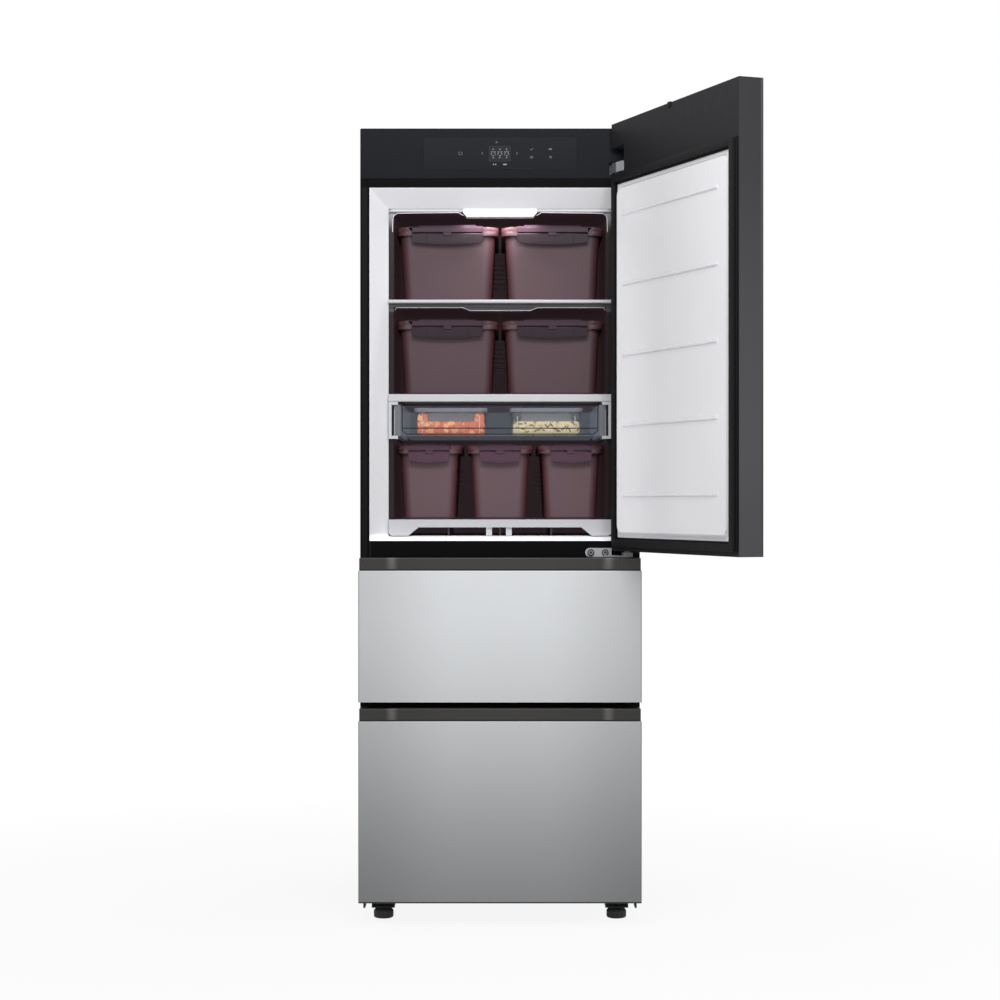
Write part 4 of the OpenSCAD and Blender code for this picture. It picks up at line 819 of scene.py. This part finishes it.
class FRIDGE_OT_display_icons(bpy.types.Operator):
    """Print the plain icons on the display window"""
    bl_idname = "fridge.display_icons"
    bl_label = "Display icons"

    row_z = 1808
    # Bars by the place of their middle, x and z, and their width and height
    field = (-0.5, 1807.2, 53, 38)
    lines = ((-17.5, 1844.2, 177, 0.7), (141, 1844.2, 71, 0.7), (51, 1772.5, 55, 0.7))
    foot_marks = ((-15.1, 1782, 2.6, 2.6), (-10.4, 1782, 2.6, 2.6), (11.8, 1782, 8.6, 2.6))
    side_marks = ((118.9, 1818.1, 7.6, 3.4), (119.3, 1800.4, 7.6, 1.4), (119.3, 1797.4, 5.4, 1.4),
                  (74.3, 1800.4, 7.6, 1.4), (74.3, 1797.4, 7.6, 1.4))
    box_icons_x = (-16, -0.2, 15.6)
    arrows = ((-41.8, -1), (40.1, 1))

    def execute(self, context):
        self.depth = context.scene.fridge_sizes.icon_depth / MM
        self.face_y = extent("display_window")[0].y
        adopt(self.add_bar(*self.field, corner=0.1), "display_field", "icon_field", "root")
        adopt(join([self.add_bar(*line) for line in self.lines]), "display_lines", "icon_line", "root")
        self.face_y -= self.depth
        marks = []
        for x in self.box_icons_x:
            marks += self.add_box_icon(x)
        marks += [self.add_bar(*mark) for mark in self.foot_marks]
        adopt(join(marks), "display_icons", "icon_print", "root")
        self.face_y += self.depth
        marks = self.add_outline(-93.5, self.row_z, 7.6, 6.1) + self.add_flag(-7.6, 1833.5)
        for x, side in self.arrows:
            marks += self.add_arrow(x, side)
        marks += [self.add_bar(*mark) for mark in self.side_marks]
        marks += self.add_tick(72.4, 1816.8)
        adopt(join(marks), "display_marks", "icon_dim", "root")
        return {"FINISHED"}

    def add_bar(self, x, z, width, height, turn=0, corner=0.45):
        """A flat bar on the window, with corners rounded by a share of its narrower side."""
        middle = spot(x, self.face_y - self.depth / 2, z)
        rounding = min(width, height) * corner
        return add_block(middle, (width, self.depth, height), (0, turn, 0), runs_back, rounding, 3)

    def add_box_icon(self, x):
        """An open box that narrows downwards, between two dots."""
        top, bottom, lean = self.row_z + 3.6, self.row_z - 5.4, math.radians(74)
        bars = [self.add_bar(x, self.row_z + dz, 2.4, 2.4) for dz in (9.6, -10)]
        bars.append(self.add_bar(x, bottom, 4.4, 1.1))
        bars += [self.add_bar(x + dx, top, 3, 1.2) for dx in (-4.2, 0, 4.2)]
        for side in (-1, 1):
            bars.append(self.add_bar(x + 4.3 * side, (top + bottom) / 2, 5.4, 1, lean * side))
        return bars

    def add_arrow(self, x, side):
        """An arrow head that points to one side."""
        slant = math.radians(52)
        return [self.add_bar(x, self.row_z + 1.7 * up, 4.9, 1, slant * side * up) for up in (-1, 1)]

    def add_outline(self, x, z, width, height):
        """An open rectangle."""
        flat = [self.add_bar(x, z + height / 2 * up, width, 0.9) for up in (-1, 1)]
        return flat + [self.add_bar(x + width / 2 * side, z, 0.9, height) for side in (-1, 1)]

    def add_flag(self, x, z):
        """A small pennant on its staff."""
        return [self.add_bar(x - 1.8, z, 0.9, 5.6), self.add_bar(x + 0.4, z + 1.4, 3.4, 2)]

    def add_tick(self, x, z):
        """A tick of a short and a long stroke."""
        slant = math.radians(45)
        return [self.add_bar(x, z, 4, 1.3, slant), self.add_bar(x + 3.6, z + 1.4, 6.6, 1.3, -slant)]


class FRIDGE_OT_bright_lines(bpy.types.Operator):
    """Add the polished edges of the ceiling's bezel and of the air duct"""
    bl_idname = "fridge.bright_lines"
    bl_label = "Polished edges"

    # The duct's front edge from its corner to the middle, outwards and upwards of its own line
    duct_front_y = 115
    duct_line = ((250, -6), (247, 0), (88, 0), (72, -7), (0, -7))

    def execute(self, context):
        self.radius = context.scene.fridge_sizes.polished_edge / MM
        low, high = extent("steel_lining")
        lamp_low, lamp_high = extent("ceiling_lamp")
        half, lamp_half = (high.x - low.x) / 2, (lamp_high.x - lamp_low.x) / 2
        bezel_line = ((half - 9, -46), (half - 9, -16), (half - 13, -6), (half - 21, -1.5),
                      (lamp_half + 12, 0), (lamp_half, -7))
        self.add_edges("bezel_edge", low.y, lamp_high.z - 8, bezel_line, 1)
        duct_z = extent("shelves")[1].z - 18
        self.add_edges("duct_edge", self.duct_front_y, duct_z, self.duct_line, 0.6)
        return {"FINISHED"}

    def add_edges(self, name, y, z, line, share):
        """The same line on both sides of the middle, as thick as a share of the usual."""
        wires = []
        for side in (-1, 1):
            spots = [spot(side * x, y - self.radius / 2, z + dz) for x, dz in line]
            wires.append(add_wire(spots, self.radius * share))
        adopt(join(wires), name, "polished_line", "root")


class FRIDGE_OT_screw_heads(bpy.types.Operator):
    """Add the screw heads of the lower hinge"""
    bl_idname = "fridge.screw_heads"
    bl_label = "Screw heads"

    screws_x = (214, 248)
    face_y = 64.4
    screw_z = 866.4
    head_radius = 6.6
    cross_half = 2.4

    def execute(self, context):
        wires = []
        turns = [math.tau * i / 24 for i in range(25)]
        for x in self.screws_x:
            middle = spot(x, self.face_y, self.screw_z)
            reach = self.head_radius * MM
            ring = [middle + Vector((math.cos(turn), 0, math.sin(turn))) * reach for turn in turns]
            wires.append(add_wire(ring, 1.4))
            for slope in (-1, 1):
                step = Vector((1, 0, slope)) * self.cross_half * MM
                wires.append(add_wire([middle - step, middle + step], 1.2))
        adopt(join(wires), "screw_heads", "dark_metal", "root")
        return {"FINISHED"}


class FRIDGE_OT_side_dishes(bpy.types.Operator):
    """Fill the two side dish boxes with cut food, line the clear edges of the tray, and add painted
    highlights on the boxes' edges
    """
    bl_idname = "fridge.side_dishes"
    bl_label = "Side dishes"

    # The boxes inside their rims, and the smooth ends of their lids beside the well
    box_width = 165
    rim = 5
    wall = 3.2
    well_side = 30
    rows = 6
    row_depth = 40
    # The tray's outlines: half width, top, bottom and the width of the turned corner
    tray_lines = ((232, 1213, 1146.5, 9), (230, 1160.5, 1160.5, 0))
    # Painted highlights on the upright edges of the boxes: from the side, behind the rim, and their two
    # ends
    glint_side = 14
    glint_depth = 4.4
    glint_ends = (4, 44)

    def execute(self, context):
        self.random = Random(11)
        self.low, high = extent("side_dish_boxes")
        self.front = self.low.y + self.rim + self.wall
        self.floor = self.low.z + self.wall
        left = self.low.x + self.rim
        right = high.x - self.rim - self.box_width
        pieces = []
        for row in range(self.rows):
            for layer, count in ((0, 8), (1, 9)):
                pieces += self.add_row(left, row, layer, count)
        for middle in (left + self.well_side / 2, left + self.box_width - self.well_side / 2):
            pieces += self.add_heap(middle)
        slices = pieces[1::3]
        rest = [piece for piece in pieces if piece not in slices]
        adopt(join(rest), "radish", "food_orange", "side_dish_drawer")
        adopt(join(slices), "radish_slices", "food_peach", "side_dish_drawer")
        rolls = []
        for row in range(self.rows):
            rolls += self.add_rolls(right, row)
        adopt(join(rolls), "rolls", "food_cream", "side_dish_drawer")
        adopt(join(self.add_filling(right)), "roll_filling", "food_green", "side_dish_drawer")
        self.add_lines(left, right)
        return {"FINISHED"}

    def add_chunk(self, x, y, z, size, lean, corner):
        """A cut piece with rounded edges that leans to one side."""
        return add_block(spot(x, y, z), size, (0, lean, 0), every_edge, corner, 2)

    def row_y(self, row):
        return self.front + (row + 0.5) * self.row_depth

    def across(self, left, count):
        """The width of each of some equal pieces across a box, and their middles."""
        step = (self.box_width - 2 * self.wall) / count
        return step, [left + self.wall + (i + 0.5) * step for i in range(count)]

    def add_row(self, left, row, layer, count):
        """Cut pieces side by side across a box, each turned its own way."""
        step, places = self.across(left, count)
        height = self.floor + 7.5 + 14 * layer
        vary = self.random.uniform
        return [self.add_chunk(x, self.row_y(row), height,
                               (step * vary(0.92, 1.05), self.row_depth * 0.96, vary(13, 15)),
                               vary(-0.16, 0.16), 2.2) for x in places]

    def add_heap(self, middle):
        """The pieces that stand higher, at one end of a box beside the lid's well."""
        vary = self.random.uniform
        return [self.add_chunk(middle + dx, self.row_y(row), self.floor + 38,
                               (11, self.row_depth * 0.9, vary(17, 19)), vary(-0.2, 0.2), 2)
                for row in range(5) for dx in (-5.5, 5.5)]

    def add_rolls(self, left, row):
        """Three rolls side by side."""
        step, places = self.across(left, 3)
        size = (step * 0.97, self.row_depth * 0.94, 29)
        return [self.add_chunk(x, self.row_y(row), self.floor + 14.6, size,
                               self.random.uniform(-0.01, 0.01), 5) for x in places]

    def add_filling(self, left):
        """Bits of filling that show at the front of the rolls."""
        vary = self.random.uniform
        return [self.add_chunk(left + 8 + i * 6.2, self.front, self.floor + vary(4, 27),
                               (vary(6, 13), 3, 3), vary(-1.2, 1.2), 1) for i in range(25)]

    def add_lines(self, left, right):
        """The dark edges of the clear tray, and painted highlights on the upright edges of its boxes."""
        tray_y = extent("side_dish_tray")[0].y
        edges = []
        for half, top, bottom, turn in self.tray_lines:
            places = [(half, top), (half, bottom + turn), (half - turn, bottom)]
            places = [(-x, z) for x, z in places] + places[::-1]
            edges.append(add_wire([spot(x, tray_y, z) for x, z in places], 1.2))
        adopt(join(edges), "tray_edges", "tray_edge", "side_dish_drawer")
        # Painted highlights: bright wires on the boxes' upright edges.
        glints = []
        for start in (left, right):
            for x in (start + self.glint_side, start + self.box_width - self.glint_side):
                y = self.low.y + self.glint_depth
                glints.append(add_wire([spot(x, y, self.low.z + z) for z in self.glint_ends], 0.9))
        adopt(join(glints), "box_glints", "dish_highlight", "side_dish_drawer")


class FRIDGE_OT_studio(bpy.types.Operator):
    """Set up the camera, the lamps, the pale floor and the white surroundings"""
    bl_idname = "fridge.studio"
    bl_label = "Studio"

    def execute(self, context):
        settings = context.scene.fridge_studio
        context.scene.view_settings.view_transform = "Standard"
        self.add_camera(context, settings)
        self.add_floor()
        self.set_world(context, settings.world_light)
        self.add_lamp("key_lamp", spot(0, -1500, 2300), spot(0, 0, 1200), (1.4, 0.6), settings.key_power)
        low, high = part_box("ceiling_lamp")
        under = Vector(((low.x + high.x) / 2, (low.y + high.y) / 2, low.z - 2 * MM))
        ahead = under + Vector((0, 0.35, -1))
        glow = self.add_lamp("ceiling_glow", under, ahead, (0.17, 0.03), settings.ceiling_power)
        glow.visible_camera = False
        for name, x in (("fill_left", -1000), ("fill_right", 1000)):
            place, target = spot(x, -3000, 1500), spot(0, 200, 1000)
            self.add_lamp(name, place, target, (0.4, 2.4), settings.fill_power)
        return {"FINISHED"}

    def add_camera(self, context, settings):
        place = ORIGIN + Vector((0, -settings.camera_distance, settings.camera_height))
        bpy.ops.object.camera_add(location=place, rotation=(math.radians(90), 0, 0))
        camera = context.object
        camera.name = "front_camera"
        camera.data.lens = settings.lens
        camera.data.sensor_width = 36
        context.scene.camera = camera

    def add_floor(self):
        """A wide pale floor under the feet, a little darker close to the refrigerator."""
        deselect()
        bpy.ops.mesh.primitive_circle_add(
            vertices=96, radius=60, fill_type="NGON", location=(ORIGIN.x, 0, -0.6 * MM))
        fix_place()
        floor = bpy.context.object
        floor.name = "studio_floor"
        finish = Finish("studio_floor", (0.86, 0.86, 0.86), 0.9)
        away = finish.node("ShaderNodeVectorMath", {0: finish.coordinates["Object"]}, operation="LENGTH")
        fade = finish.node("ShaderNodeMapRange", {
            "Value": away.outputs["Value"], "From Min": 0.4, "From Max": 2.2, "To Min": 0.9, "To Max": 1.0})
        mix = finish.node("ShaderNodeMixShader", {
            0: finish.both(seen_rays(finish.tree), fade.outputs["Result"]),
            1: finish.shader.outputs["BSDF"],
            2: finish.node("ShaderNodeEmission").outputs["Emission"]})
        finish.put(mix.outputs["Shader"], finish.tree.nodes["Material Output"].inputs["Surface"])
        floor.data.materials.append(finish.material)

    def set_world(self, context, strength):
        """White surroundings that light the object less than they show."""
        world = bpy.data.worlds.new("white_surroundings")
        context.scene.world = world
        world.use_nodes = True
        tree = world.node_tree
        lighting = tree.nodes["Background"]
        shown = tree.nodes.new("ShaderNodeBackground")
        mix = tree.nodes.new("ShaderNodeMixShader")
        tree.links.new(seen_rays(tree), mix.inputs[0])
        for i, (background, level) in enumerate(((lighting, strength), (shown, 1)), start=1):
            background.inputs["Color"].default_value = (1, 1, 1, 1)
            background.inputs["Strength"].default_value = level
            tree.links.new(background.outputs["Background"], mix.inputs[i])
        tree.links.new(mix.outputs["Shader"], tree.nodes["World Output"].inputs["Surface"])

    def add_lamp(self, name, place, target, size, power):
        """A rectangular lamp, its size in metres, that shines at a target."""
        bpy.ops.object.light_add(type="AREA", location=place)
        lamp = bpy.context.object
        lamp.name = name
        lamp.data.shape = "RECTANGLE"
        lamp.data.size, lamp.data.size_y = size
        lamp.data.energy = power
        lamp.rotation_euler = (target - place).to_track_quat("-Z", "Y").to_euler()
        return lamp


class FRIDGE_PT_panel(bpy.types.Panel):
    """Lists the refrigerator's pieces, colours and studio"""
    bl_idname = "FRIDGE_PT_panel"
    bl_label = "Kimchi Refrigerator"
    bl_space_type = "VIEW_3D"
    bl_region_type = "UI"
    bl_category = "Refrigerator"

    def draw(self, context):
        for operator in OPERATORS:
            self.layout.operator(operator.bl_idname)
        for name, kind in GROUPS.items():
            for key in kind.__annotations__:
                self.layout.prop(getattr(context.scene, name), key)


OPERATORS = (FRIDGE_OT_finishes, FRIDGE_OT_display_icons, FRIDGE_OT_bright_lines, FRIDGE_OT_screw_heads,
             FRIDGE_OT_side_dishes, FRIDGE_OT_studio)
GROUPS = {"fridge_colours": FinishColours, "fridge_studio": StudioSettings, "fridge_sizes": DetailSizes}


def register():
    for cls in (*GROUPS.values(), *OPERATORS, FRIDGE_PT_panel):
        bpy.utils.register_class(cls)
    for name, group in GROUPS.items():
        setattr(bpy.types.Scene, name, bpy.props.PointerProperty(type=group))


def unregister():
    for name in GROUPS:
        delattr(bpy.types.Scene, name)
    for cls in reversed((*GROUPS.values(), *OPERATORS, FRIDGE_PT_panel)):
        bpy.utils.unregister_class(cls)


def main():
    register()
    for operator in OPERATORS:
        group, name = operator.bl_idname.split(".")
        getattr(getattr(bpy.ops, group), name)()


if __name__ == "__main__":
    main()
